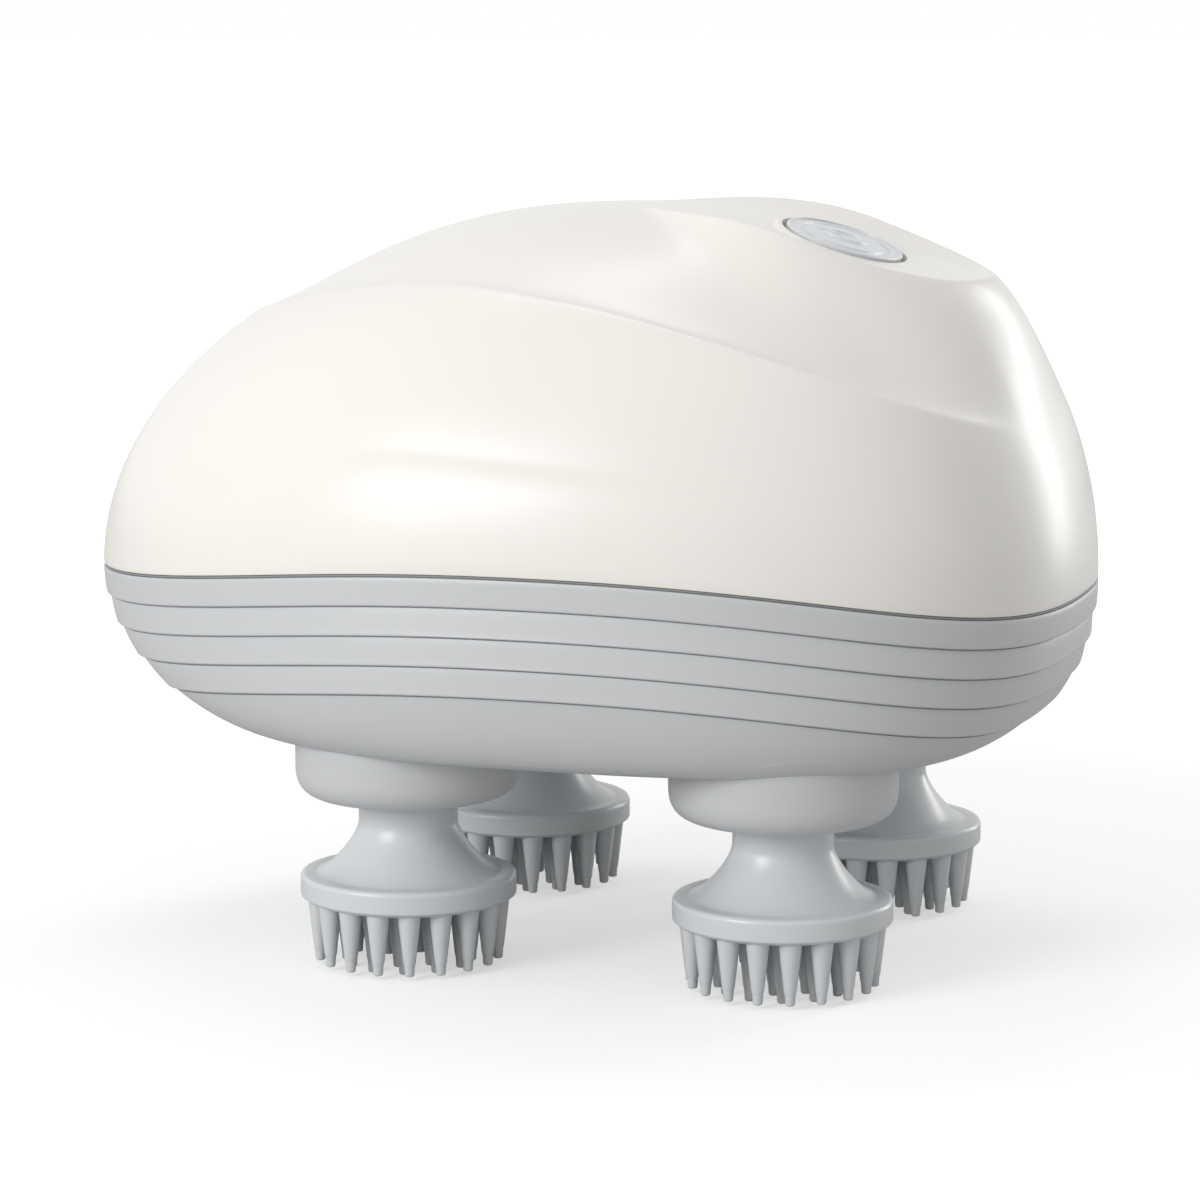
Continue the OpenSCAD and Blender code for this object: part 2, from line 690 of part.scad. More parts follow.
module upper_bushes() {
    bore = head_shaft_d / 2 + running_gap;
    color(brass) at_heads() union() {
        pipe(bush_od / 2, bore, chassis_z - 0.3, chassis_top_z);
        pipe(bush_od / 2 + bush_flange, bore, chassis_top_z, chassis_top_z + bush_flange_t);
    }
}

// ---------------------------------------------------------------- drive

module drive_shaft() {
    r = drive_shaft_d / 2;
    color(steel) {
        keyed(r, 0, pilot_z + 0.2, gear_top_z + drive_hub_t);
        drum(r, gear_top_z + drive_hub_t, chassis_top_z + 6);
    }
}
module drive_gear() {
    rim = gear_module * sun_teeth / 2 - 3.4;
    color(acetal) difference() {
        union() {
            translate([0, 0, gear_z]) linear_extrude(gear_t) polygon(gear_points(sun_teeth));
            drum(drive_shaft_d / 2 + 2.5, gear_z - drive_hub_t, gear_top_z + drive_hub_t);
        }
        keyed(drive_shaft_d / 2, seat_gap, gear_z - 2, gear_top_z + 2);
        pipe(rim, drive_shaft_d / 2 + 3.6, gear_z + gear_t - 1.3, gear_top_z + 2);
        for (k = [0:5]) rotate(30 + 60 * k) translate([rim / 2 + 3, 0, 0]) drum(3, gear_z - 1, gear_top_z + 1);
    }
}
module gearbox() {
    color("#a7abb0") difference() {
        union() {
            drum(gearbox_d / 2, chassis_top_z, gearbox_top_z);
            drum(drive_shaft_d / 2 + drive_seat_wall, chassis_z + 0.6, chassis_top_z + 1);
        }
        drum(drive_shaft_d / 2 + running_gap, chassis_z, chassis_top_z + 6.5);
        for (s = [-1, 1]) translate([0, s * motor_screw_y, 0])
            drum(small_pilot_r, chassis_z, chassis_top_z + motor_screw_l);
    }
}
module motor() {
    color(steel) {
        difference() {
            drum(motor_d / 2, gearbox_top_z, motor_top_z);
            pipe(motor_d / 2 + 1, motor_d / 2 - 0.4, motor_top_z - 3.4, motor_top_z - 2.8);
        }
        drum(4, motor_top_z - 0.1, motor_top_z + 1);
        for (s = [-1, 1]) translate([-0.3, s * motor_tab_y - 1, motor_top_z - 0.1])
            cube([0.6, 2, 2.2]);
    }
}
module motor_screws() {
    color(steel) at_motor_screws() translate([0, 0, motor_head_z])
        rotate([180, 0, 0]) screw(small_shank_d, motor_screw_l, small_head_r, 1.2);
}

// ---------------------------------------------------------------- shells

module upper_skin() {
    outer = [0, 0.14, 0.28, 0.42, 0.56, 0.7, 0.85, 1,
             1.06, 1.15, 1.28, 1.42, 1.56, 1.7, 1.85, 2, 2.3, 2.58, 2.8];
    inner = [2.45, 2, 1.65, 1.35, 0.85, 0.6, 0.3, 0];
    n = columns;
    m = len(outer);
    k = len(inner);
    tip = (m + k) * n;
    rings = concat([for (s = outer) upper_ring(s, 0, part_gap / 2)],
                   [for (s = inner) upper_ring(s, shell_wall, part_gap / 2)]);
    tips = [[apex_x, 0, body_top], [apex_x, 0, body_top - shell_wall]];
    polyhedron(concat(joined(rings), tips), concat(
        [for (i = [0:m - 2]) each strip(i * n, (i + 1) * n, n)],
        fan((m - 1) * n, tip, n, true),
        fan(m * n, tip + 1, n, false),
        [for (i = [m:m + k - 2]) each strip(i * n, (i + 1) * n, n)],
        strip((m + k - 1) * n, 0, n)));
}
// Screw bosses, board posts and the rib round the button, before the skin trims them
module upper_bosses() {
    at_each(shell_screws_at) drum(screw_boss_r - 0.6, screw_boss_top + boss_lift, body_top);
    at_button() at_each(board_holes) drum(board_post_r, retainer_top_w, retainer_top_w + 12);
    at_button(rib_low_w) grown_oval(flange_grow + rib_t, 8);
}
module upper_shell() {
    lip_low_w = -0.6 * shell_wall;
    color(white_gloss) difference() {
        union() {
            upper_skin();
            intersection() {
                upper_core();
                upper_bosses();
            }
            at_button(lip_low_w) grown_oval(button_gap + lip_w, lip_h - lip_low_w);
        }
        at_button(-shell_wall - 2) grown_oval(button_gap, shell_wall + 6);
        at_button(rib_low_w - 1) grown_oval(flange_grow + button_gap, 1 - rib_low_w - shell_wall);
        at_each(shell_screws_at) drum(shell_screw_d / 2 - 0.25, screw_boss_top - 1, screw_boss_top + 8);
        at_button() at_each(board_holes)
            drum(small_pilot_r, retainer_top_w - 1, retainer_top_w + board_bite + 0.4);
    }
}

module lower_skin() {
    n = columns;
    rows = [for (t = turns()) lower_rows(t)];
    inner = [for (t = turns()) lower_in_rows(t, shell_wall)];
    m = len(rows[0]);
    k = len(inner[0]);
    rings = concat([for (i = [m - 1:-1:0]) ring_of(rows, i)],
                   [for (i = [0:k - 1]) ring_of(inner, i)]);
    last = (m + k - 1) * n;
    polyhedron(joined(rings), concat(
        [[for (i = [0:n - 1]) i]],
        [for (i = [0:m + k - 2]) each strip(i * n, (i + 1) * n, n)],
        [[for (i = [n - 1:-1:0]) last + i]]));
}
// Collar sockets, bush bosses, the drive's pilot, screw bosses and chassis posts
module lower_bosses() {
    at_heads() drum(collar_d / 2 + socket_wall, under_z, web_z + web_t);
    at_heads() drum(bush_od / 2 + 2.4, web_z, web_z + bush_l - 0.1);
    at_drive() drum(drive_shaft_d / 2 + 2.4, under_z, pilot_boss_z);
    at_each(shell_screws_at) drum(screw_boss_r, under_z, screw_boss_top);
    at_each(posts_at) drum(post_r, under_z, chassis_z);
}
module lower_shell() {
    color(grey_matte) difference() {
        union() {
            lower_skin();
            intersection() {
                lower_core();
                lower_bosses();
            }
        }
        at_heads() drum(collar_d / 2 + seat_gap, under_z - 5, web_z);
        at_heads() drum(bush_od / 2 + seat_gap, web_z - 1, web_z + bush_l + 1);
        at_drive() drum(drive_shaft_d / 2 + running_gap, pilot_z, pilot_boss_z + 1);
        at_each(shell_screws_at) drum(screw_head_r + recess_gap, under_z - 1, screw_seat_z);
        at_each(shell_screws_at) drum(shell_screw_d / 2 + screw_clear, screw_seat_z - 1, screw_boss_top + 1);
        at_each(posts_at) drum(small_pilot_r, chassis_z - 7, chassis_z + 1);
        at_contacts() drum(contact_r + seat_gap, -4, 8);
    }
}

module parting_gasket() {
    h = part_gap / 2 - 0.03;
    out = gasket_in + gasket_w;
    section = [[gasket_in, -h], [gasket_in, h], [out, h], [out, -h]];
    color(dark_rubber) looped([for (c = section)
        [for (t = turns()) place(t, radius_at(t) - c[0], parting(t) + c[1])]]);
}

module chassis_plate() {
    edge = [for (t = turns()) let (p = outline(t), r = norm(p)) [apex_x, 0] + p * (r - chassis_inset) / r];
    low = chassis_z - 1;
    high = chassis_top_z + 1;
    color(white_frame) difference() {
        translate([0, 0, chassis_z]) linear_extrude(chassis_t) polygon(edge);
        at_heads() drum(bush_od / 2 + seat_gap, low, high);
        at_drive() drum(drive_shaft_d / 2 + drive_seat_wall + seat_gap, low, high);
        at_each(shell_screws_at) drum(screw_boss_r + free_gap, low, high);
        at_each(posts_at) drum(small_hole_r, low, high);
        at_motor_screws() drum(small_hole_r, low, high);
        at_motor_screws() drum(small_head_r + screw_grip, low, motor_head_z);
        at_each(cradle_holes) drum(small_pilot_r, low, high);
        for (s = [-1, 1]) translate([lead_hole_x, s * contact_y, 0]) drum(2 * lead_r + recess_gap, low, high);
    }
}

// ---------------------------------------------------------------- battery

module battery() {
    color("#4a6fa5") translate([cell_x, 0, cell_z]) rotate([90, 0, 0]) union() {
        translate([0, 0, -cell_l / 2]) cylinder(r = cell_d / 2, h = cell_l);
        translate([0, 0, cell_l / 2 - 0.1]) cylinder(r = 3, h = cell_nub + 0.1);
    }
}
// Box right across the cradle, from a height up by one cell diameter
module cradle_cut(z) {
    translate([cell_x - cell_d, -cell_l, z]) cube([2 * cell_d, 2 * cell_l, cell_d]);
}
module battery_cradle() {
    base_l = cell_d + 1.2;
    color(white_frame) difference() {
        union() {
            translate([cell_x - base_l / 2, -cradle_half, chassis_top_z])
                cube([base_l, 2 * cradle_half, cradle_base]);
            for (y = [cradle_half, cradle_arm_l - cradle_half]) translate([cell_x, y, cell_z])
                rotate([90, 0, 0]) cylinder(r = cell_d / 2 + cradle_arm_t, h = cradle_arm_l);
        }
        translate([cell_x, cell_l, cell_z]) rotate([90, 0, 0])
            cylinder(r = cell_d / 2 + cell_gap, h = 2 * cell_l);
        cradle_cut(cell_z + cradle_mouth);
        cradle_cut(chassis_top_z - cell_d);
        at_each(cradle_holes) drum(small_hole_r, chassis_z, chassis_top_z + 8);
    }
}

// ---------------------------------------------------------------- charging

module charge_contacts() {
    color(brass) at_contacts() drum(contact_r, 0, contact_l);
}
module contact_carrier() {
    color("#6b6f73") difference() {
        translate([carrier_x, -contact_y - 3, contact_z - 2.2]) cube([2.4, 2 * contact_y + 6, 4.4]);
        at_contacts() drum(contact_r + seat_gap, 0, contact_l + 3);
    }
}

// ---------------------------------------------------------------- button group

module button() {
    shoulder = 0.35;
    cap_top = button_proud - shoulder;
    groove_out = 4;
    groove_in = groove_out + 1.2;
    color(grey_button) at_button() difference() {
        union() {
            translate([0, 0, flange_top_w - 0.1]) oval(button_l, button_w, cap_top - flange_top_w + 0.1);
            translate([0, 0, cap_top]) oval(button_l - 0.8, button_w - 0.8, shoulder);
            translate([0, 0, flange_low_w]) grown_oval(flange_grow, flange_t);
        }
        translate([0, 0, cap_top + 0.1]) difference() {
            oval(button_l - groove_out, button_w - groove_out, 1);
            translate([0, 0, -1]) oval(button_l - groove_in, button_w - groove_in, 3);
        }
    }
}
module button_boot() {
    plate_top_w = retainer_top_w + boot_t;
    color(dark_rubber) at_button() union() {
        translate([0, 0, retainer_top_w]) grown_oval(flange_grow + rib_t, boot_t);
        translate([0, 0, plate_top_w - 0.1]) cylinder(r1 = 4, r2 = 2.6, h = flange_low_w - plate_top_w);
    }
}
module boot_retainer() {
    window_r = 5.2;
    color(white_frame) at_button() difference() {
        union() {
            translate([board_u[0], -board_w / 2, retainer_low_w])
                cube([board_u[1] - board_u[0], board_w, retainer_t - 0.1]);
            at_each(board_holes) drum(board_post_r, board_top_w, retainer_low_w + 0.1);
        }
        drum(window_r, retainer_low_w - 1, retainer_top_w + 1);
        at_each(board_holes) drum(small_hole_r, board_top_w - 1, retainer_top_w + 1);
    }
}
module tact_switch() {
    body_l = 6;
    color(black_plastic) at_button() union() {
        translate([-body_l / 2, -body_l / 2, board_top_w]) cube([body_l, body_l, switch_h - 1]);
        drum(1.7, board_top_w, retainer_top_w - 0.1);
    }
}
module control_board() {
    color("#1f6b45") at_button() difference() {
        translate([board_u[0], -board_w / 2, board_low_w])
            cube([board_u[1] - board_u[0], board_w, board_t]);
        at_each(board_holes) drum(small_hole_r, board_low_w - 1, board_top_w + 1);
    }
}
module board_parts() {
    chip = [7, 7, 1.4];
    resistor = [1.6, 1.2, 0.8];
    color(black_plastic) at_button() {
        translate([5, -chip[1] / 2, board_top_w]) cube(chip);
        for (k = [-1:1])
            translate([connector_u, k * connector_v - connector_w / 2, board_low_w - connector_h])
                cube([4, connector_w, connector_h]);
        for (k = [0:2]) translate([7, 3 * k - 4, board_low_w - resistor[2]]) cube(resistor);
    }
}
module board_screws() {
    length = retainer_top_w - board_low_w + board_bite;
    color(steel) at_button() at_each(board_holes) translate([0, 0, board_low_w])
        rotate([180, 0, 0]) screw(small_shank_d, length, small_head_r, 1.3);
}

// ---------------------------------------------------------------- fasteners

module chassis_screws() {
    color(steel) at_each(posts_at) translate([0, 0, chassis_top_z])
        screw(small_shank_d, 8, small_head_r, 1.3);
}
module cradle_screws() {
    color(steel) at_each(cradle_holes) translate([0, 0, chassis_top_z + cradle_base])
        screw(small_shank_d, 3.6, small_head_r, 1.2);
}
module shell_screws() {
    color(steel) at_each(shell_screws_at) translate([0, 0, screw_seat_z])
        rotate([180, 0, 0]) screw(shell_screw_d - 0.54, shell_screw_l, screw_head_r, 1.8);
}
module screw_plugs() {
    color(grey_silicone) at_each(shell_screws_at) drum(screw_head_r + 0.28, plug_z, plug_z + plug_t);
}

// ---------------------------------------------------------------- leads

function button_point(u, v, w) =
    [button_x + u * cos(button_tilt) + w * sin(button_tilt), v,
     button_z - u * sin(button_tilt) + w * cos(button_tilt)];
function plug_in(v) = button_point(connector_u - lead_r, v, board_low_w - connector_h / 2);
module motor_leads() {
    color(red_lead) for (s = [-1, 1])
        let (from = [drive_x + lead_r + 0.3, s * motor_tab_y, motor_top_z + 1.2],
             to = plug_in(s * lead_pitch))
        wire(bend(from, from + [6, 0, 0.2], to - [5, 0, -0.4], to), lead_r);
}
module battery_leads() {
    color(red_lead) for (s = [-1, 1])
        let (end_y = s > 0 ? cell_l / 2 + lead_r : -cell_l / 2 - cell_nub - lead_r,
             from = [cell_x, end_y, cell_z],
             to = plug_in(s * (connector_v + lead_pitch)))
        wire(bend(from, from + [8, s * 1.5, 12], [drive_x + 6, s * 24, to[2] - 6.5], to), lead_r);
}
module charge_leads() {
    color(blue_lead) for (s = [-1, 1])
        let (from = [contact_out_x + contact_l + lead_r, s * contact_y, contact_z],
             over = [lead_hole_x + 3.5, s * (contact_y + 1), chassis_top_z + 8.5],
             to = plug_in(s * (connector_v - lead_pitch)),
             through = [lead_hole_x, s * contact_y, chassis_top_z + 0.6],
             up = bend(from, from + [1.4, 0, 0.5], through, over),
             on = bend(over, over + [3.5, s, 8], [cell_x + 4, s * 20, body_top - 10], to))
        wire(concat(up, [for (i = [1:wire_steps]) on[i]]), lead_r);
}

// ---------------------------------------------------------------- assembly

for (c = corners) {
    at_head(c) pad();
    at_head(c) hub();
    at_head(c) head_shaft();
    at_head(c) head_gear(c);
    at_head(c) clip();
    at_head(c) collar();
}
upper_shell();
lower_shell();
parting_gasket();
chassis_plate();
lower_bushes();
upper_bushes();
shaft_seals();
at_drive() drive_shaft();
at_drive() drive_gear();
at_drive() gearbox();
at_drive() motor();
motor_screws();
battery();
battery_cradle();
cradle_screws();
chassis_screws();
shell_screws();
screw_plugs();
charge_contacts();
contact_carrier();
button();
button_boot();
boot_retainer();
tact_switch();
control_board();
board_parts();
board_screws();
motor_leads();
battery_leads();
charge_leads();
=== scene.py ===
# %% [markdown]
# # An electric scalp massager
#
# A palm-held body of two moulded shells stands on four turning heads of soft bristles.
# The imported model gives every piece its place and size. This lesson dresses it: the shells
# are remodelled as smooth surfaces, the heads get their bristles, the button gets its
# relief, and each finish gets a material. One unit in the scene is a metre, so lengths
# are written in millimetres and multiplied by MM where a mesh is made.

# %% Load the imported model
import json
from math import atan, comb, cos, pi, radians, sin, sqrt

import bmesh
import bpy
import numpy as np
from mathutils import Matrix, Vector


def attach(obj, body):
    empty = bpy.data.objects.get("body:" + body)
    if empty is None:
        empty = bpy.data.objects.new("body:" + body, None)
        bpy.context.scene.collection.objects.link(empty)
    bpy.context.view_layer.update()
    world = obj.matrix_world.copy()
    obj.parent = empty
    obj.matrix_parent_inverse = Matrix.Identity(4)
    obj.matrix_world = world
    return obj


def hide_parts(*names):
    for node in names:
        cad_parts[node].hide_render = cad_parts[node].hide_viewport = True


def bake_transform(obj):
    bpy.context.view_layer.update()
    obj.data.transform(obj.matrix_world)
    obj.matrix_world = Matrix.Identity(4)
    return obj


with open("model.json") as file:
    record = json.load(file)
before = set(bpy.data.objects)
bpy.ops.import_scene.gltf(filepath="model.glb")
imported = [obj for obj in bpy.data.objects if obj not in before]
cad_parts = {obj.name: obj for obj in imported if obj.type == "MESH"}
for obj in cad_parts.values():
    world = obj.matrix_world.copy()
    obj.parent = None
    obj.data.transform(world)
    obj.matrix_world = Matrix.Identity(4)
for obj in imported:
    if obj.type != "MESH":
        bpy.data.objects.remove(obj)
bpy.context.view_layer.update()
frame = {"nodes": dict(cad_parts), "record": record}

MM = 0.001

# %% [markdown]
# ## Camera
#
# A long lens from a little above shows the near side, the top facet with its button, and
# all four heads. The camera comes first, because every later choice is judged through it.
# It is aimed by two angles, how far it turns round the object and how far it looks down,
# which is easier to read than a rotation matrix.

# %% Camera
LOOK_TURN = radians(17.4)
LOOK_DOWN = radians(9.21)
CAMERA_AT = Vector((165.2, -522.6, 130.0)) * MM
LENS_MM, SENSOR_MM = 135.0, 36.0

rightward = Vector((cos(LOOK_TURN), sin(LOOK_TURN), 0))
away = Vector((-sin(LOOK_TURN), cos(LOOK_TURN), 0))
view_line = away * cos(LOOK_DOWN) - Vector((0, 0, sin(LOOK_DOWN)))

camera_data = bpy.data.cameras.new("camera")
camera_data.lens = LENS_MM
camera_data.sensor_width = SENSOR_MM
camera = bpy.data.objects.new("camera", camera_data)
camera.location = CAMERA_AT
camera.rotation_mode = "QUATERNION"
camera.rotation_quaternion = view_line.to_track_quat("-Z", "Y")
bpy.context.scene.collection.objects.link(camera)
bpy.context.scene.camera = camera
bpy.context.scene.view_settings.view_transform = "Standard"
print("camera stands", round(CAMERA_AT.length / MM), "mm from the origin")

# %% [markdown]
# ## Shader arithmetic
#
# A node tree is easiest to read as a formula. `Wire` holds one output socket, and its
# operators add Math nodes, so `1 - mask * 0.2` becomes two of them. Every other node
# comes from `Finish.node`, which sets the node's own settings first and then its sockets.

# %% Wire: one socket with arithmetic
class Wire:
    def __init__(self, finish, socket):
        self.finish = finish
        self.socket = socket

    def maths(self, operation, first, second):
        return self.finish.node("ShaderNodeMath", {"operation": operation}, {0: first, 1: second})

    def __add__(self, other): return self.maths("ADD", self, other)
    def __radd__(self, other): return self.maths("ADD", other, self)
    def __sub__(self, other): return self.maths("SUBTRACT", self, other)
    def __rsub__(self, other): return self.maths("SUBTRACT", other, self)
    def __mul__(self, other): return self.maths("MULTIPLY", self, other)
    def __rmul__(self, other): return self.maths("MULTIPLY", other, self)
    def __truediv__(self, other): return self.maths("DIVIDE", self, other)
    def __rtruediv__(self, other): return self.maths("DIVIDE", other, self)
    def above(self, limit): return self.maths("GREATER_THAN", self, limit)


# %% Finish: a material and the nodes it is made of
class Finish:
    """A Principled material; constants go straight onto the shader's own sockets."""

    def __init__(self, name, **constants):
        self.material = bpy.data.materials.new(name)
        self.material.use_nodes = True
        self.tree = self.material.node_tree
        self.shader = self.tree.nodes["Principled BSDF"]
        self.place = self.node("ShaderNodeTexCoord", out="Object")
        for socket, value in constants.items():
            self.feed(socket.replace("_", " "), value)

    def node(self, kind, settings=None, sockets=None, out=0):
        made = self.tree.nodes.new(kind)
        for key, value in (settings or {}).items():
            setattr(made, key, value)
        for key, value in (sockets or {}).items():
            self.connect(made.inputs[key], value)
        return Wire(self, made.outputs[out])

    def connect(self, socket, value):
        if isinstance(value, Wire):
            self.tree.links.new(value.socket, socket)
        else:
            socket.default_value = value

    def feed(self, socket, value):
        self.connect(self.shader.inputs[socket], value)

    def noise(self, per_mm, detail=2.0, place=None):
        sockets = {"Vector": place or self.place, "Scale": per_mm / MM, "Detail": detail}
        return self.node("ShaderNodeTexNoise", None, sockets, "Fac")

    def stretched(self, x, y, z):
        settings = {"vector_type": "POINT"}
        return self.node("ShaderNodeMapping", settings, {"Vector": self.place, "Scale": (x, y, z)})

    def span(self, value, low, high, to_low, to_high):
        """value between low and high, mapped smoothly onto to_low and to_high"""
        return self.node("ShaderNodeMapRange", {"interpolation_type": "SMOOTHSTEP"},
                         {"Value": value, 1: low, 2: high, 3: to_low, 4: to_high})

    def blend(self, factor, first, second):
        sockets = {0: factor, 6: first, 7: second}
        return self.node("ShaderNodeMix", {"data_type": "RGBA"}, sockets, 2)

    def bump(self, height, depth_mm):
        sockets = {"Height": height, "Distance": depth_mm * MM, "Strength": 1.0}
        self.feed("Normal", self.node("ShaderNodeBump", None, sockets))


def colour(red, green, blue):
    """A colour given in the 0 to 255 steps of a colour picker, as linear light."""
    def linear(step):
        share = step / 255
        return share / 12.92 if share <= 0.04045 else ((share + 0.055) / 1.055) ** 2.4
    return (linear(red), linear(green), linear(blue), 1.0)


def shaded(base, share):
    """The same colour with this share of its light."""
    return tuple(channel * share for channel in base[:3]) + (1.0,)


# %% [markdown]
# ## Finishes
#
# The upper shell is glossy white ABS: a warm white with an all but invisible ripple from
# the mould. The lower shell and the collars are the same plastic in grey from a finely
# etched mould, so they scatter light more. The pads are moulded silicone, softer still.
# In each, a slow noise shifts the tone by a hundredth or so, and a fine one makes a bump.

# %% Outer finishes
DRIFT_PER_MM, DRIFT_LOW, DRIFT_HIGH = 0.02, 0.35, 0.65
SHEEN_PER_MM, SHEEN_CHANGE = 0.15, 0.08


def moulded(name, base, tone, roughness, grain_per_mm, grain_mm):
    """Moulded plastic: a slow drift in tone, a faint sheen change and a fine grain."""
    finish = Finish(name)
    drift = finish.span(finish.noise(DRIFT_PER_MM, 3.0), DRIFT_LOW, DRIFT_HIGH, 0, 1)
    finish.feed("Base Color", finish.blend(drift, base, shaded(base, tone)))
    finish.feed("Roughness", roughness + (finish.noise(SHEEN_PER_MM) - 0.5) * SHEEN_CHANGE)
    finish.bump(finish.noise(grain_per_mm, 4.0), grain_mm)
    return finish.material


white_gloss = moulded("white_gloss", colour(245, 242, 236), 0.985, 0.32, 0.25, 0.01)
grey_satin = moulded("grey_satin", colour(204, 206, 208), 0.97, 0.42, 3.0, 0.01)
grey_silicone = moulded("grey_silicone", colour(219, 222, 224), 0.97, 0.3, 2.0, 0.006)
grey_button = moulded("grey_button", colour(224, 227, 230), 0.98, 0.34, 2.5, 0.006)
dark_rubber = moulded("dark_rubber", colour(150, 151, 152), 0.8, 0.6, 3.0, 0.02)

# %% [markdown]
# ## Inner finishes
#
# The pieces inside are seen when the shells come off. Drawn steel shows fine streaks
# along one direction, brass is warm and a little blotchy, acetal gears are milky, the
# board has copper lines under green lacquer, and the cell wears a shrink sleeve.

# %% Inner finishes
STREAKS_PER_MM, STREAK_TONE, STREAK_SHEEN, STREAK_MM = 0.4, 0.8, 0.25, 0.008
TRACKS_PER_MM, TRACK_SHOWS, TRACK_MM = 0.22, 0.6, 0.02
SLEEVE_BAND = (17.0, 20.0)


def metal(name, base, roughness, streak):
    """Drawn metal, with streaks that are stretched by a factor along each axis."""
    finish = Finish(name, Metallic=1.0)
    streaks = finish.noise(STREAKS_PER_MM, 4.0, finish.stretched(*streak))
    finish.feed("Base Color", finish.blend(streaks, base, shaded(base, STREAK_TONE)))
    finish.feed("Roughness", roughness + (streaks - 0.5) * STREAK_SHEEN)
    finish.bump(streaks, STREAK_MM)
    return finish.material


def board_lacquer():
    """Green lacquer over copper tracks, which a brick pattern stands for."""
    finish = Finish("board_green", Roughness=0.35)
    tracks = finish.node("ShaderNodeTexBrick", {"offset": 0.5, "squash": 1.0}, {
        "Vector": finish.place, "Scale": TRACKS_PER_MM / MM, "Mortar Size": 0.06,
        "Bias": 0.0, "Brick Width": 0.9, "Row Height": 0.35}, "Fac")
    lacquer = finish.blend(finish.noise(0.3), colour(22, 96, 58), colour(16, 78, 48))
    finish.feed("Base Color", finish.blend(tracks * TRACK_SHOWS, lacquer, colour(74, 140, 84)))
    finish.bump(tracks, TRACK_MM)
    return finish.material


def cell_sleeve():
    """Blue shrink sleeve with one pale band near an end."""
    finish = Finish("cell_wrap", Roughness=0.28, Coat_Weight=0.3)
    along = finish.node("ShaderNodeSeparateXYZ", None, {"Vector": finish.place}, "Y") / MM
    band = along.above(SLEEVE_BAND[0]) * (1 - along.above(SLEEVE_BAND[1]))
    sleeve = finish.blend(finish.noise(0.1), colour(52, 96, 158), colour(46, 86, 146))
    finish.feed("Base Color", finish.blend(band, sleeve, colour(226, 228, 230)))
    finish.bump(finish.noise(0.5, 3.0), 0.03)
    return finish.material


FINISHES = {
    "white_shell": white_gloss,
    "grey_shell": grey_satin,
    "grey_silicone": grey_silicone,
    "grey_button": grey_button,
    "dark_rubber": dark_rubber,
    "steel": metal("steel", colour(196, 198, 200), 0.3, (1, 1, 12)),
    "motor_can": metal("motor_can", colour(182, 184, 188), 0.36, (1, 1, 10)),
    "brass": metal("brass", colour(214, 172, 96), 0.3, (1, 1, 6)),
    "acetal": moulded("acetal", colour(236, 233, 222), 0.97, 0.36, 1.5, 0.01),
    "grey_frame": moulded("grey_frame", colour(206, 207, 208), 0.94, 0.5, 1.2, 0.03),
    "cell_wrap": cell_sleeve(),
    "board_green": board_lacquer(),
    "board_black": moulded("board_black", colour(38, 39, 41), 0.8, 0.5, 4.0, 0.02),
    "red_lead": moulded("red_lead", colour(186, 40, 34), 0.9, 0.4, 2.0, 0.01),
    "blue_lead": moulded("blue_lead", colour(48, 58, 158), 0.9, 0.4, 2.0, 0.01),
}
for part in frame["record"]["subparts"]:
    for material_slot in frame["nodes"][part["node"]].material_slots:
        material_slot.material = FINISHES[part["material_slot"]]

# %% [markdown]
# ## Meshes made of rings
#
# Shells, collars, plates and the button all have one thing in common: they are rings of
# points, one above the other, closed at each end by a pole. One function turns a stack of
# rings into a closed mesh. Sharp edges are marked by angle, so the rest shades smoothly.

# %% Rings to a closed mesh
# An edge that turns by more than this many degrees is shaded as an edge.
SHARP, UPPER_SHARP, LOWER_SHARP, PAD_SHARP, BUTTON_SHARP = 32.0, 40.0, 38.0, 50.0, 45.0


def piece_from_mesh(name, mesh, finish, sharp=SHARP):
    mesh.materials.clear()
    mesh.materials.append(finish)
    mesh.polygons.foreach_set("use_smooth", [True] * len(mesh.polygons))
    mesh.set_sharp_from_angle(angle=radians(sharp))
    made = bpy.data.objects.new(name, mesh)
    bpy.context.scene.collection.objects.link(made)
    return made


def stack(name, rings, finish, poles=None, sharp=SHARP):
    """Closed piece through rings of points in mm. With two poles it is closed at both
    ends; without them the last ring joins the first, as in a washer."""
    rings = np.asarray(rings, dtype=float)
    levels, around = rings.shape[:2]
    points = rings.reshape(-1, 3)
    step = np.arange(around)
    after = (step + 1) % around
    faces = []
    for level in range(levels - 1 if poles is not None else levels):
        low = level * around
        high = (level + 1) % levels * around
        faces += np.stack([low + step, low + after, high + after, high + step], 1).tolist()
    if poles is not None:
        points = np.vstack([points, poles])
        bottom, top = levels * around, levels * around + 1
        last = (levels - 1) * around
        faces += np.stack([after, step, np.full(around, bottom)], 1).tolist()
        faces += np.stack([last + step, last + after, np.full(around, top)], 1).tolist()
    mesh = bpy.data.meshes.new(name)
    mesh.from_pydata((points * MM).tolist(), [], faces)
    work = bmesh.new()
    work.from_mesh(mesh)
    bmesh.ops.recalc_face_normals(work, faces=work.faces)
    work.to_mesh(mesh)
    work.free()
    return piece_from_mesh(name, mesh, finish, sharp)


# %% Curves, rounded profiles and turned pieces
MOST_OF_EDGE, ARC_STEPS = 0.49, 10


def full_turn(count):
    return np.linspace(0, 2 * pi, count, endpoint=False)


def bezier(u, *points):
    """Point (r, z) at u on the Bezier curve with these control points."""
    last = len(points) - 1
    weights = [comb(last, k) * (1 - u) ** (last - k) * u ** k for k in range(last + 1)]
    return tuple(sum(w * point[axis] for w, point in zip(weights, points)) for axis in (0, 1))


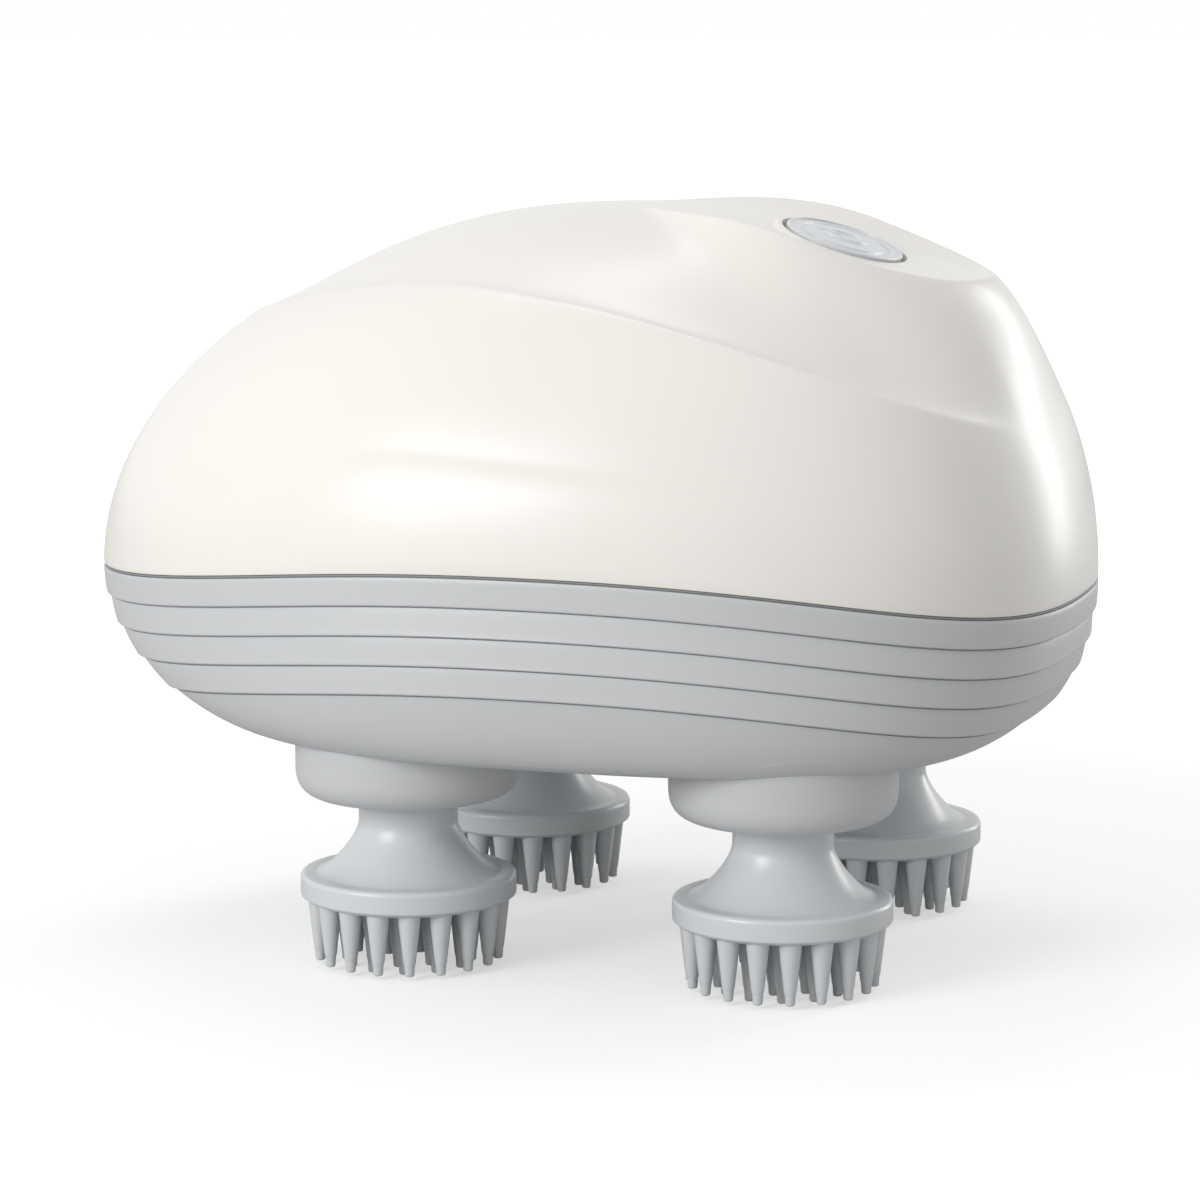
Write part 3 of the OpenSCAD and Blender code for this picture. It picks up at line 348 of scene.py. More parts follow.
def rounded(corners, arc):
    """Profile through corners (r, z, radius), each rounded by that radius in arc steps."""
    profile = []
    count = len(corners)
    for index, (r, z, radius) in enumerate(corners):
        here = Vector((r, z))
        if not radius or index in (0, count - 1):
            profile.append(here)
            continue
        back = Vector(corners[index - 1][:2]) - here
        ahead = Vector(corners[index + 1][:2]) - here
        shorter = min(back.length, ahead.length)
        reach = min(radius / np.tan(back.angle(ahead) / 2), shorter * MOST_OF_EDGE)
        start, end = here + back.normalized() * reach, here + ahead.normalized() * reach
        profile += [bezier(step / arc, start, here, end) for step in range(arc + 1)]
    return profile


def turned(profile, centre=(0.0, 0.0), around=96):
    """Rings of a profile (r, z) turned round a vertical axis."""
    x, y = np.cos(full_turn(around)), np.sin(full_turn(around))
    return [np.stack([centre[0] + r * x, centre[1] + r * y, np.full(around, z)], 1)
            for r, z in profile]


# %% [markdown]
# ## The body's surface
#
# The body is one smooth pebble cut by three features. A **crest** runs round it like a
# breaking wave, a **hollow** falls away behind the crest, and a teardrop **facet** on top
# carries the button. Each is a formula of the angle t round the body, with t = 0 at the
# button end, so the mesh can be as fine as the light needs.
#
# The plan is a superellipse, whose power decides how square it looks. From the parting
# line up to the crest a meridian is a quarter of another superellipse. Behind the crest
# a Bezier curve carries it on to the facet.

# %% Sizes of the body
# Plan, wall and parting line, which arches up at the sides
BODY_L, BODY_W, BODY_TOP, APEX_X = 124.0, 92.0, 90.3, 6.0
NOSE_ROUND, TAIL_ROUND = 2.03, 2.45
PART_Z, PART_ARCH, PART_GAP, SHELL_WALL = 44.9, 5.9, 0.28, 2.2
# Powers of the meridians, and how far the dome is taken up at the button end
DOME_NOSE, DOME_SIDE, DOME_TAIL, TAIL_RISE = 1.93, 2.15, 2.1, 8.0
# Crest: highest at CREST_TURN degrees from the nose, and faded out before the button end
CREST_Z, CREST_NOSE_DROP, CREST_TAIL_Z, CREST_TURN, BEFORE_CREST = 82.4, 6.0, 65.3, 70.0, 0.995
CREST_FADE, CREST_FADE_W, CREST_AT_NOSE, CREST_FROM, CREST_FROM_W = 136, 32, 0.55, 5, 55
# Hollow: how steeply it leaves the crest on the left and right, and its curve's two reaches
LEDGE_ANGLE, HOLLOW_ANGLE, RIGHT_FROM, RIGHT_W, OPEN_AT = 4.0, 16.0, 95, 55, 34
LEDGE_REACH, HOLLOW_REACH, FADED_REACH, SHUT_REACH, OPEN_REACH = 0.10, 0.28, 0.33, 0.54, 0.30
# Facet: its fall, lift and dish are per square millimetre
FACET_L, FACET_START, FACET_FALL, FACET_EDGE = 44.0, 6.0, 0.0064, 40.0
FACET_LIFT, FACET_DISH, FACET_FLAT, BUTTON_X = 0.0075, 0.0086, 5.0, 32.0
FACET_SPREAD, FACET_LEAST, FACET_POWER, FACET_EASE = 64.0, 1.0, 0.8, 0.2
COLUMNS = 360


def mix(a, b, u):
    return a + (b - a) * u


def smooth(u):
    u = np.clip(u, 0, 1)
    return u * u * (3 - 2 * u)


def ramp(value, start, width):
    """0 up to start, 1 from start + width on, and smooth between them."""
    return smooth((value - start) / width)


# %% Plan and side of the body
TURN = full_turn(COLUMNS)
end_side = (1 + np.cos(TURN)) / 2
plan_reach = mix(BODY_L / 2 + APEX_X, BODY_L / 2 - APEX_X, end_side)
plan_power = 2 / mix(NOSE_ROUND, TAIL_ROUND, end_side)
plan_x = plan_reach * np.sign(np.cos(TURN)) * np.abs(np.cos(TURN)) ** plan_power
plan_y = BODY_W / 2 * np.sign(np.sin(TURN)) * np.abs(np.sin(TURN)) ** plan_power
RADIUS = np.hypot(plan_x, plan_y)
BEARING = np.arctan2(plan_y, plan_x)
ANGLE = 180 - np.abs((np.degrees(TURN) + 180) % 360 - 180)  # degrees from the nose
PARTING = PART_Z + PART_ARCH * np.abs(np.sin(TURN)) ** 3


def placed(r, z):
    """Ring of points at distances r from the apex's axis and heights z, one a column."""
    z = z + np.zeros(COLUMNS)
    return np.stack([APEX_X + r * np.cos(BEARING), r * np.sin(BEARING), z], 1)


crest_fall = np.cos(pi * (ANGLE - CREST_TURN) / (180 - CREST_TURN))
crest_climb = np.cos(pi * (CREST_TURN - ANGLE) / CREST_TURN)
CREST = np.where(ANGLE < CREST_TURN, CREST_Z - CREST_NOSE_DROP * (1 - crest_climb) / 2,
                 (CREST_Z + CREST_TAIL_Z) / 2 + (CREST_Z - CREST_TAIL_Z) / 2 * crest_fall)
CREST_SHARE = mix(CREST_AT_NOSE, 1, ramp(ANGLE, CREST_FROM, CREST_FROM_W))
CREST_SHARE *= 1 - ramp(ANGLE, CREST_FADE, CREST_FADE_W)
dome_end = np.where(np.cos(TURN) > 0, DOME_TAIL, DOME_NOSE)
DOME_POWER = mix(DOME_SIDE, dome_end, np.cos(TURN) ** 2)
DOME_HEIGHT = BODY_TOP + TAIL_RISE * np.maximum(0, np.cos(TURN)) ** 2 - PARTING
SIDE_TURN = np.arcsin(((CREST - PARTING) / DOME_HEIGHT) ** (DOME_POWER / 2))


def side(v):
    """Side of the dome, from the parting line (v = 0) up to the crest (v = 1)."""
    turn = v * SIDE_TURN
    r = RADIUS * np.cos(turn) ** (2 / DOME_POWER)
    return r, PARTING + DOME_HEIGHT * np.sin(turn) ** (2 / DOME_POWER)


# %% Facet and hollow
def facet_height(x, y=0.0):
    """The facet bends down up to the button, eases from there, and curls up at its sides."""
    run = np.clip(x - FACET_START, 0, BUTTON_X - FACET_START)
    past = np.maximum(0, x - BUTTON_X)
    fall = FACET_FALL * run * (run + 2 * past) - FACET_LIFT * past ** 2
    return BODY_TOP - fall + FACET_DISH * np.maximum(0, np.abs(y) - FACET_FLAT) ** 2


facet_share = np.minimum(2, np.abs(np.degrees(BEARING)) / FACET_SPREAD)
facet_rise = np.cos(facet_share * pi / 2)
facet_rise = (facet_rise + np.hypot(facet_rise, FACET_EASE)) / (1 + np.hypot(1, FACET_EASE))
FACET_R = FACET_LEAST + (FACET_L - FACET_LEAST) * facet_rise ** FACET_POWER


def facet(v):
    """Top facet, from its edge (v = 0) to the apex (v = 1)."""
    r = FACET_R * (1 - v)
    return r, facet_height(APEX_X + r * np.cos(BEARING), r * np.sin(BEARING))


def hollow(v):
    """Hollow between the crest (v = 0) and the facet's edge (v = 1)."""
    crest_r, crest_z = side(1)
    before_r, before_z = side(BEFORE_CREST)
    edge_r, edge_z = facet(0)
    reach = np.hypot(crest_r - edge_r, crest_z - edge_z)
    opening = ramp(FACET_R, 0, OPEN_AT)
    right = ramp(ANGLE, RIGHT_FROM, RIGHT_W)
    start = mix(np.arctan2(crest_z - before_z, before_r - crest_r),
                np.radians(mix(LEDGE_ANGLE, HOLLOW_ANGLE, right)), CREST_SHARE)
    end = radians(FACET_EDGE) * opening
    start_reach = mix(FADED_REACH, mix(LEDGE_REACH, HOLLOW_REACH, right), CREST_SHARE) * reach
    end_reach = mix(SHUT_REACH, OPEN_REACH, opening) * reach
    first = (crest_r - start_reach * np.cos(start), crest_z + start_reach * np.sin(start))
    second = (edge_r + end_reach * np.cos(end), edge_z - end_reach * np.sin(end))
    return bezier(v, (crest_r, crest_z), first, second, (edge_r, edge_z))


# %% [markdown]
# ## Soft shoulder
#
# Halfway up each side the mould steps in by under a millimetre along a long arc. It is
# hardly a shape, but a glossy surface shows it as a crescent of light. The side is sunk
# above the arc and comes back to its old place at the crest.

# %% Soft shoulder on the sides
# The arc is highest at SHOULDER_AT degrees from the nose and falls to its left and right. The
# step is SHOULDER_STEP high, and it fades in and out between two angles at each end.
SHOULDER_Z, SHOULDER_AT, SHOULDER_SINK, SHOULDER_STEP = 64.3, 76.0, 0.55, 4.5
SHOULDER_POWER, SHOULDER_CLEAR = 2.2, 5
LEFT_DROP, LEFT_W, RIGHT_DROP, RIGHT_DROP_W, RIGHT_POWER = 5.3, 20, 9.9, 70, 1.7
SHOULDER_IN, SHOULDER_IN_W, SHOULDER_OUT, SHOULDER_OUT_W = 46, 18, 105, 50
left_fall = LEFT_DROP * (np.maximum(0, SHOULDER_AT - ANGLE) / LEFT_W) ** 2
right_fall = RIGHT_DROP * (np.maximum(0, ANGLE - SHOULDER_AT) / RIGHT_DROP_W) ** RIGHT_POWER
SHOULDER = np.maximum(SHOULDER_Z - left_fall - right_fall, PARTING + SHOULDER_CLEAR)
SHOULDER_SHARE = ramp(ANGLE, SHOULDER_IN, SHOULDER_IN_W)
SHOULDER_SHARE *= 1 - ramp(ANGLE, SHOULDER_OUT, SHOULDER_OUT_W)


def shouldered(v):
    """The side, rolled in just below the arc and back out above it."""
    r, z = side(v)
    rise = np.clip((z - SHOULDER) / SHOULDER_STEP + 1, 0, 1)
    back = np.clip((z - SHOULDER) / (CREST - SHOULDER), 0, 1)
    sink = SHOULDER_SINK * SHOULDER_SHARE * rise ** SHOULDER_POWER * (1 - back ** 2) ** 2
    return r - sink, z


shoulder_turn = np.arcsin(((SHOULDER - PARTING) / DOME_HEIGHT) ** (DOME_POWER / 2))
SHOULDER_V = shoulder_turn / SIDE_TURN

# %% [markdown]
# ## Upper shell
#
# A crease on a moulded part is never quite sharp, and its small radius is what catches
# the light. `softened` replaces the corner between two surfaces with a short curve that
# starts and ends a fixed distance from it. The inner skin is the outer one moved in along
# its own normal by the wall thickness.

# %% Upper shell rows
CREST_SOFT, FACET_SOFT, NEAR, MOST = 0.6, 0.5, 0.01, 0.3
CORNER_ROWS, LOW_ROWS, HIGH_ROWS, HOLLOW_ROWS, FACET_ROWS, INNER_EVERY = 8, 40, 30, 34, 16, 5


def softened(before, after, reach):
    """Rows of a curve round the corner where the surface before ends and after begins."""
    corner_r, corner_z = before(1.0)
    back_r, back_z = before(1 - NEAR)
    on_r, on_z = after(NEAR)
    back = np.minimum(MOST, NEAR * reach / np.hypot(corner_r - back_r, corner_z - back_z))
    on = np.minimum(MOST, NEAR * reach / np.hypot(on_r - corner_r, on_z - corner_z))
    points = before(1 - back), (corner_r, corner_z), after(on)
    return [bezier(u, *points) for u in np.linspace(0, 1, CORNER_ROWS)], back, on


crest_rows, crest_back, crest_on = softened(shouldered, hollow, CREST_SOFT)
edge_rows, edge_back, edge_on = softened(hollow, facet, FACET_SOFT)
side_rows = [shouldered(u * SHOULDER_V) for u in np.linspace(0, 1, LOW_ROWS)[:-1]]
side_rows += [shouldered(mix(SHOULDER_V, 1 - crest_back, u))
              for u in np.linspace(0, 1, HIGH_ROWS)[:-1]]
hollow_rows = [hollow(mix(crest_on, 1 - edge_back, u))
               for u in np.linspace(0, 1, HOLLOW_ROWS)[1:-1]]
facet_rows = [facet(mix(edge_on, 1, u)) for u in np.linspace(0, 1, FACET_ROWS)[1:-1]]
OUTER = side_rows + crest_rows + hollow_rows + edge_rows + facet_rows


def moved_in(rows, wall):
    """The rows moved in along their normals by a wall thickness."""
    table = np.array(rows)
    along = np.gradient(table, axis=0)
    along /= np.hypot(along[:, 0], along[:, 1])[:, None] + 1e-9
    inner = np.stack([table[:, 0] - wall * along[:, 1], table[:, 1] + wall * along[:, 0]], 1)
    inner[0] = table[0] - np.array([[wall], [0]])
    return inner


# The rim starts above the gap with a small round, and the rows below its end are left out.
RIM = PARTING + PART_GAP / 2
RIM_ROUND, RIM_CLEAR = [(0.25, 0.0), (0.05, 0.1), (0.0, 0.3)], 0.35
rim_rows = [(RADIUS - inward, RIM + up) for inward, up in RIM_ROUND]
outer_rows = rim_rows + [row for row in OUTER[1:] if np.all(row[1] > RIM + RIM_CLEAR)]
inner_rows = moved_in(OUTER, SHELL_WALL)[::INNER_EVERY]
inner_rows[0][1] = RIM
upper_shell = stack(
    "upper_shell_skin", [placed(*row) for row in [*inner_rows[::-1], *outer_rows]], white_gloss,
    [(APEX_X, 0, BODY_TOP - SHELL_WALL), (APEX_X, 0, BODY_TOP)], sharp=UPPER_SHARP)
print("upper shell:", len(OUTER), "rows,", len(upper_shell.data.polygons), "faces")

# %% [markdown]
# ## Lower shell
#
# The lower shell is lapped: four bands follow the parting line. Each leans out, so that its
# lower edge stands half a millimetre proud of the next one and throws a thin line of shadow.
# The wall then turns in to a flat underside that carries the four collars. The bands are
# rows at fixed depths below the parting line, with a few more where a lower edge is rounded.

# %% Sizes of the lower shell
UNDER_Z, BAND_COUNT, BAND_H, BAND_STEP = 27.2, 4, 3.5, 0.5
UNDER_SIDE, UNDER_NOSE, UNDER_TAIL = 9.0, 35.0, 13.0
SIDE_POWER, END_POWER, END_REACH = 2.8, 2.15, 5
end_share = np.abs(np.cos(TURN)) ** END_REACH
under_end = np.where(np.cos(TURN) > 0, UNDER_TAIL, UNDER_NOSE) * (1 + np.sin(BEARING) ** 2 / 2)
DEPTH = PARTING - UNDER_Z


def under_inset(depth, whole):
    """How far the wall has come in at a depth below the parting line."""
    power = mix(SIDE_POWER, END_POWER, end_share)
    share = np.minimum(1, np.maximum(0, depth) / whole)
    come_in = 1 - np.maximum(0, 1 - share ** power) ** (1 / power)
    return mix(UNDER_SIDE, under_end, end_share) * come_in


def lower_row(depth, inset, whole=DEPTH):
    return RADIUS - under_inset(depth, whole) - inset, PARTING - depth


# %% Lower shell rows
# Each pair is a depth below the parting line and how far in the row lies: first the rim's
# small round, then for each band its face, its rounded lower edge and the groove under it.
BAND_EDGE, GROOVE, GROOVE_IN, FIRST_ROW = 0.15, 0.2, 0.3, 0.8
depths = [(PART_GAP / 2, 0.3), (PART_GAP / 2 + 0.08, 0.08), (PART_GAP / 2 + 0.3, 0)]
for band in range(BAND_COUNT):
    top, low = band * BAND_H, (band + 1) * BAND_H
    inset = BAND_STEP if band else 0.0
    first = GROOVE + 0.1 if band else FIRST_ROW
    depths += [(top + down, inset * (1 - down / BAND_H))
               for down in (first, 0.3 * BAND_H, 0.5 * BAND_H, 0.7 * BAND_H)]
    depths += [(low - 2.2 * BAND_EDGE, inset * 0.1), (low - BAND_EDGE, 0.0),
               (low - 0.3 * BAND_EDGE, BAND_EDGE * 0.3), (low, BAND_EDGE),
               (low, BAND_STEP + GROOVE_IN), (low + GROOVE, BAND_STEP + GROOVE_IN),
               (low + GROOVE, BAND_STEP)]
lower_rows = [lower_row(down, inward) for down, inward in depths]
for turn in np.linspace(0.06, 1, 28):
    down = mix(BAND_COUNT * BAND_H, DEPTH, np.sin(turn * pi / 2))
    lower_rows.append(lower_row(down, BAND_STEP))

# The inner rows rise from the floor to the rim.
inner_depth = DEPTH - SHELL_WALL
inner_rows = [lower_row(inner_depth * sin(turn * pi / 2), SHELL_WALL + BAND_STEP, inner_depth)
              for turn in np.linspace(1, 0, 16)]
inner_rows[-1] = (inner_rows[-1][0], PARTING - PART_GAP / 2)
lower_shell = stack(
    "lower_shell_skin", [placed(*row) for row in inner_rows + lower_rows], grey_satin,
    [(APEX_X, 0, UNDER_Z + SHELL_WALL), (APEX_X, 0, UNDER_Z)], sharp=LOWER_SHARP)
print("lower shell:", len(lower_rows), "rows,", len(lower_shell.data.polygons), "faces")

# %% Gasket in the parting line
GASKET_IN, GASKET_W, GASKET_BEAD, GASKET_CLEAR = 0.15, 1.4, 0.08, 0.03
half_gap = PART_GAP / 2 - GASKET_CLEAR
section = [(0.0, -half_gap), (-GASKET_BEAD, 0.0), (0.0, half_gap),
           (GASKET_W, half_gap), (GASKET_W, -half_gap)]
gasket_rings = [placed(RADIUS - GASKET_IN - inward, PARTING + up) for inward, up in section]
gasket = stack("parting_gasket_ring", gasket_rings, dark_rubber)
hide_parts("parting_gasket")
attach(gasket, "body")

# %% [markdown]
# ## Openings and inner bosses
#
# The shells are moulded with bosses for the screws, sockets for the collars and an opening
# for the button. These are added and cut with booleans, using the Manifold solver, which
# keeps a closed mesh closed. Each tool is made like any other piece and thrown away after.

# %% The button's place on the facet
BUTTON_L, BUTTON_W, BUTTON_PROUD, BUTTON_GAP = 14.2, 18.8, 0.9, 0.6
FLANGE_GROW, FLANGE_TOP, FLANGE_LOW = 2.2, -2.35, -3.55
LIP_W, LIP_H, LIP_SOFT = 0.8, 0.35, 0.3
RIB_T, RIB_LOW, POST_LOW = 1.6, -5.25, -6.15
BUTTON_Z = float(facet_height(BUTTON_X))
BUTTON_TILT = atan(2 * FACET_FALL * (BUTTON_X - FACET_START))
OVAL_POINTS, TOOL_POINTS, SMALL_TURN = 192, 128, full_turn(48)


def on_facet(u, v, w):
    """Point given along the slope, across it and out from it, in the body's axes."""
    return np.stack([BUTTON_X + u * cos(BUTTON_TILT) + w * sin(BUTTON_TILT), v + 0 * u,
                     BUTTON_Z - u * sin(BUTTON_TILT) + w * cos(BUTTON_TILT)], -1)


def oval_ring(grow_by, w, share=1.0, around=OVAL_POINTS):
    """The button's outline as (u, v, w), grown by some mm or scaled towards its middle."""
    turn = full_turn(around)
    u = (BUTTON_L / 2 + grow_by) * share * np.cos(turn)
    v = (BUTTON_W / 2 + grow_by) * share * np.sin(turn)
    return u, v, np.broadcast_to(w, u.shape)


# %% Boolean tools
def evaluated(piece):
    """The piece's mesh with its modifiers applied."""
    graph = bpy.context.evaluated_depsgraph_get()
    return bpy.data.meshes.new_from_object(piece.evaluated_get(graph))


def worked(piece, operation, tools):
    """Adds tools to the piece, cuts them from it or keeps what they share with it."""
    for tool in tools:
        step = piece.modifiers.new(operation.lower(), "BOOLEAN")
        step.operation, step.solver, step.object = operation, "MANIFOLD", tool
    shape = evaluated(piece)
    piece.modifiers.clear()
    piece.data = shape
    for tool in tools:
        bpy.data.objects.remove(tool)
    return piece


def drum(r, low, high, centre=(0.0, 0.0), around=64):
    return stack("tool", turned([(r, low), (r, high)], centre, around), grey_satin,
                 [(*centre, low), (*centre, high)])


def oval_drum(grow_by, low, high, soft=0.0):
    """Oval tool square to the facet, with its upper edge bevelled by soft."""
    levels = [(grow_by, low), (grow_by, high - soft), (grow_by - soft, high)]
    rings = [on_facet(*oval_ring(grown, w, around=TOOL_POINTS)) for grown, w in levels]
    return stack("tool", rings, grey_satin, [on_facet(0.0, 0.0, low), on_facet(0.0, 0.0, high)])


# %% Upper shell: bosses, rib, lip and opening
# A tool runs OVER past the face that it cuts, and a screw bites into a narrower hole.
SHELL_SCREWS = [(-42.5, 0.0), (49.5, 0.0), (7.9, -33.0), (7.9, 33.0)]
BOSS_R, BOSS_TOP, BOSS_THIN, BOSS_GAP, OVER = 4.2, 45.6, 0.6, 0.2, 1
SCREW_D, BITE, BITE_L = 2.6, 0.25, 8
BOARD_HOLES = [(u, v) for u in (-11.0, 11.0) for v in (-11.0, 11.0)]
BOARD_POST_R, UNDER_SKIN = 2.4, -SHELL_WALL / 2


def under_skin(x, y, r):
    """Height just inside the upper shell's outer skin over a round boss."""
    heights = []
    for turn in np.radians(np.arange(0, 360, 30)):
        start = Vector((x + r * cos(turn), y + r * sin(turn), 2 * BODY_TOP)) * MM
        heights.append(upper_shell.ray_cast(start, Vector((0, 0, -1)))[1].z / MM)
    return min(heights) - SHELL_WALL / 2


bosses = [drum(BOSS_R - BOSS_THIN, BOSS_TOP + BOSS_GAP, under_skin(*at, BOSS_R), at)
          for at in SHELL_SCREWS]
posts = []
post_x, post_y = BOARD_POST_R * np.cos(SMALL_TURN), BOARD_POST_R * np.sin(SMALL_TURN)
for u, v in BOARD_HOLES:
    rings = [on_facet(u + post_x, v + post_y, w) for w in (POST_LOW, UNDER_SKIN)]
    poles = [on_facet(u, v, w) for w in (POST_LOW, UNDER_SKIN)]
    posts.append(stack("tool", rings, grey_satin, poles))
rib = oval_drum(FLANGE_GROW + RIB_T, RIB_LOW, UNDER_SKIN)
lip = oval_drum(BUTTON_GAP + LIP_W, UNDER_SKIN, LIP_H, LIP_SOFT)
worked(upper_shell, "UNION", bosses + posts + [rib, lip])
holes = [drum(SCREW_D / 2 - BITE, BOSS_TOP - OVER, BOSS_TOP + BITE_L, at)
         for at in SHELL_SCREWS]
pocket = oval_drum(FLANGE_GROW + BUTTON_GAP, RIB_LOW - OVER, -SHELL_WALL)
opening = oval_drum(BUTTON_GAP, -SHELL_WALL - 2 * OVER, 6 * OVER)
worked(upper_shell, "DIFFERENCE", holes + [pocket, opening])
upper_shell = piece_from_mesh(
    "upper_shell_moulded", upper_shell.data, white_gloss, sharp=UPPER_SHARP)
bpy.data.objects.remove(bpy.data.objects["upper_shell_skin"])
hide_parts("upper_shell")
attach(upper_shell, "body")
print("upper shell with its bosses:", len(upper_shell.data.polygons), "faces")

# %% Places of the heads
DRIVE_X, CENTRE_DISTANCE = 7.9, 33.0
HEAD_OFFSET = CENTRE_DISTANCE / sqrt(2)
HEAD_AT = {
    "front_left": (DRIVE_X - HEAD_OFFSET, -HEAD_OFFSET),
    "front_right": (DRIVE_X + HEAD_OFFSET, -HEAD_OFFSET),
    "rear_right": (DRIVE_X + HEAD_OFFSET, HEAD_OFFSET),
    "rear_left": (DRIVE_X - HEAD_OFFSET, HEAD_OFFSET)}
COLLAR_R, COLLAR_Z, COLLAR_EDGE, COLLAR_H, NECK_R, SHAFT_R = 13.5, 20.5, 3.6, 9.5, 5.95, 2.5
WEB_Z = COLLAR_Z + COLLAR_H

# %% Lower shell: sockets, bosses and holes
SOCKET_R, SOCKET_TOP, BUSH_R, BUSH_BORE, BUSH_TOP = 15.5, 32.5, 6.4, 4.02, 33.9
PILOT_R, PILOT_BORE, PILOT_Z, PILOT_TOP, POST_R, CHASSIS_Z = 5.4, 3.03, 29.7, 33.5, 3.1, 40.9
SEAT_Z, SEAT_R, CONTACT_R, CONTACT_Y, CONTACT_Z = 38.2, 2.9, 1.5, 5.5, 36.5
CHASSIS_POSTS = [(x, y) for x in (-38.5, 46.0) for y in (-9.5, 9.5)]
PRESS_GAP, SCREW_GAP, POST_BORE, POST_BORE_L = 0.02, 0.1, 0.8, 7
BELOW, DRIVE_AT = UNDER_Z - OVER, (DRIVE_X, 0.0)
CONTACT_ENDS = (-BODY_L / 2 - 2, -BODY_L / 2 + 10)
inside_all = stack("tool", [placed(*row) for row in lower_rows[::-1]], grey_satin,
                   [(APEX_X, 0, UNDER_Z), (APEX_X, 0, PART_Z)])
bosses = [drum(SOCKET_R, BELOW, SOCKET_TOP, at, TOOL_POINTS) for at in HEAD_AT.values()]
bosses += [drum(BUSH_R, WEB_Z, BUSH_TOP, at) for at in HEAD_AT.values()]
bosses += [drum(BOSS_R, BELOW, BOSS_TOP, at) for at in SHELL_SCREWS]
bosses += [drum(POST_R, BELOW, CHASSIS_Z, at) for at in CHASSIS_POSTS]
inner_work = worked(drum(PILOT_R, BELOW, PILOT_TOP, DRIVE_AT), "UNION", bosses)
worked(inner_work, "INTERSECT", [inside_all])
worked(lower_shell, "UNION", [inner_work])
holes = [drum(COLLAR_R + PRESS_GAP, BELOW - 4 * OVER, WEB_Z, at, TOOL_POINTS)
         for at in HEAD_AT.values()]
holes += [drum(BUSH_BORE, WEB_Z - OVER, BUSH_TOP + OVER, at) for at in HEAD_AT.values()]
holes += [drum(PILOT_BORE, PILOT_Z, PILOT_TOP + OVER, DRIVE_AT)]
for at in SHELL_SCREWS:
    holes += [drum(SEAT_R, BELOW, SEAT_Z, at)]
    holes += [drum(SCREW_D / 2 + SCREW_GAP, SEAT_Z - OVER, BOSS_TOP + OVER, at)]
holes += [drum(POST_BORE, CHASSIS_Z - POST_BORE_L, CHASSIS_Z + OVER, at) for at in CHASSIS_POSTS]
for y in (-CONTACT_Y, CONTACT_Y):
    across = y + CONTACT_R * np.cos(SMALL_TURN)
    up = CONTACT_Z + CONTACT_R * np.sin(SMALL_TURN)
    rings = [np.stack([np.full_like(up, x), across, up], 1) for x in CONTACT_ENDS]
    holes.append(stack("tool", rings, grey_satin, [(x, y, CONTACT_Z) for x in CONTACT_ENDS]))
worked(lower_shell, "DIFFERENCE", holes)
lower_shell = piece_from_mesh(
    "lower_shell_moulded", lower_shell.data, grey_satin, sharp=LOWER_SHARP)
bpy.data.objects.remove(bpy.data.objects["lower_shell_skin"])
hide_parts("lower_shell")
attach(lower_shell, "body")
print("lower shell with its bosses:", len(lower_shell.data.polygons), "faces")

# %% [markdown]
# ## Collars
#
# A collar is pressed into each socket of the lower shell and hides the seal. Its profile
# is turned round the head's axis. The lower edge has a generous radius, so the collar ends
# in a soft band of light.

# %% Collars
# From the neck's mouth out and up to the top, down into the floor between the outer wall and
# the seal's, and from the seal's seat to the shaft's bore
WALL_R, FLOOR_Z, TOP_Z, EDGE = COLLAR_R - 1.8, COLLAR_Z + 3.4, WEB_Z - PRESS_GAP, 0.5
SEAL_Z, SEAL_R = COLLAR_Z + 5.5, SHAFT_R + 4.02
SEAL_WALL_R = SEAL_R + 1.6
MOUTH_R, BORE_R, BORE_Z = NECK_R + 0.3, SHAFT_R + 1.4, COLLAR_Z + 4.5
collar_corners = [
    (MOUTH_R, BORE_Z, 0), (MOUTH_R, COLLAR_Z, EDGE), (COLLAR_R, COLLAR_Z, COLLAR_EDGE),
    (COLLAR_R, TOP_Z, 0), (WALL_R, TOP_Z, 0), (WALL_R, FLOOR_Z, EDGE),
    (SEAL_WALL_R, FLOOR_Z, EDGE), (SEAL_WALL_R, TOP_Z, 0), (SEAL_R, TOP_Z, 0),
    (SEAL_R, SEAL_Z, 0), (BORE_R, SEAL_Z, 0), (BORE_R, BORE_Z, 0)]
for corner, centre in HEAD_AT.items():
    rings = turned(rounded(collar_corners, ARC_STEPS), centre, TOOL_POINTS)
    collar = stack(f"collar_{corner}_turned", rings, grey_satin)
    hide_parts(f"collar_{corner}")
    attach(collar, "body")
print("collars:", len(HEAD_AT), "of", len(collar.data.polygons), "faces")

# %% [markdown]
# ## Pads and bristles
#
# A pad is one moulding of silicone: a plate that flares up into a neck, and bristles in
# three rings below it. The plate is a turned profile. The bristles repeat, so Geometry
# Nodes place them: a circle of points for each ring, one bristle on each point, and all
# of it made real and joined to the plate. The bristle itself is a slim cone that ends in
# a shoulder and a narrower rounded tip, which is what first touches the skin.

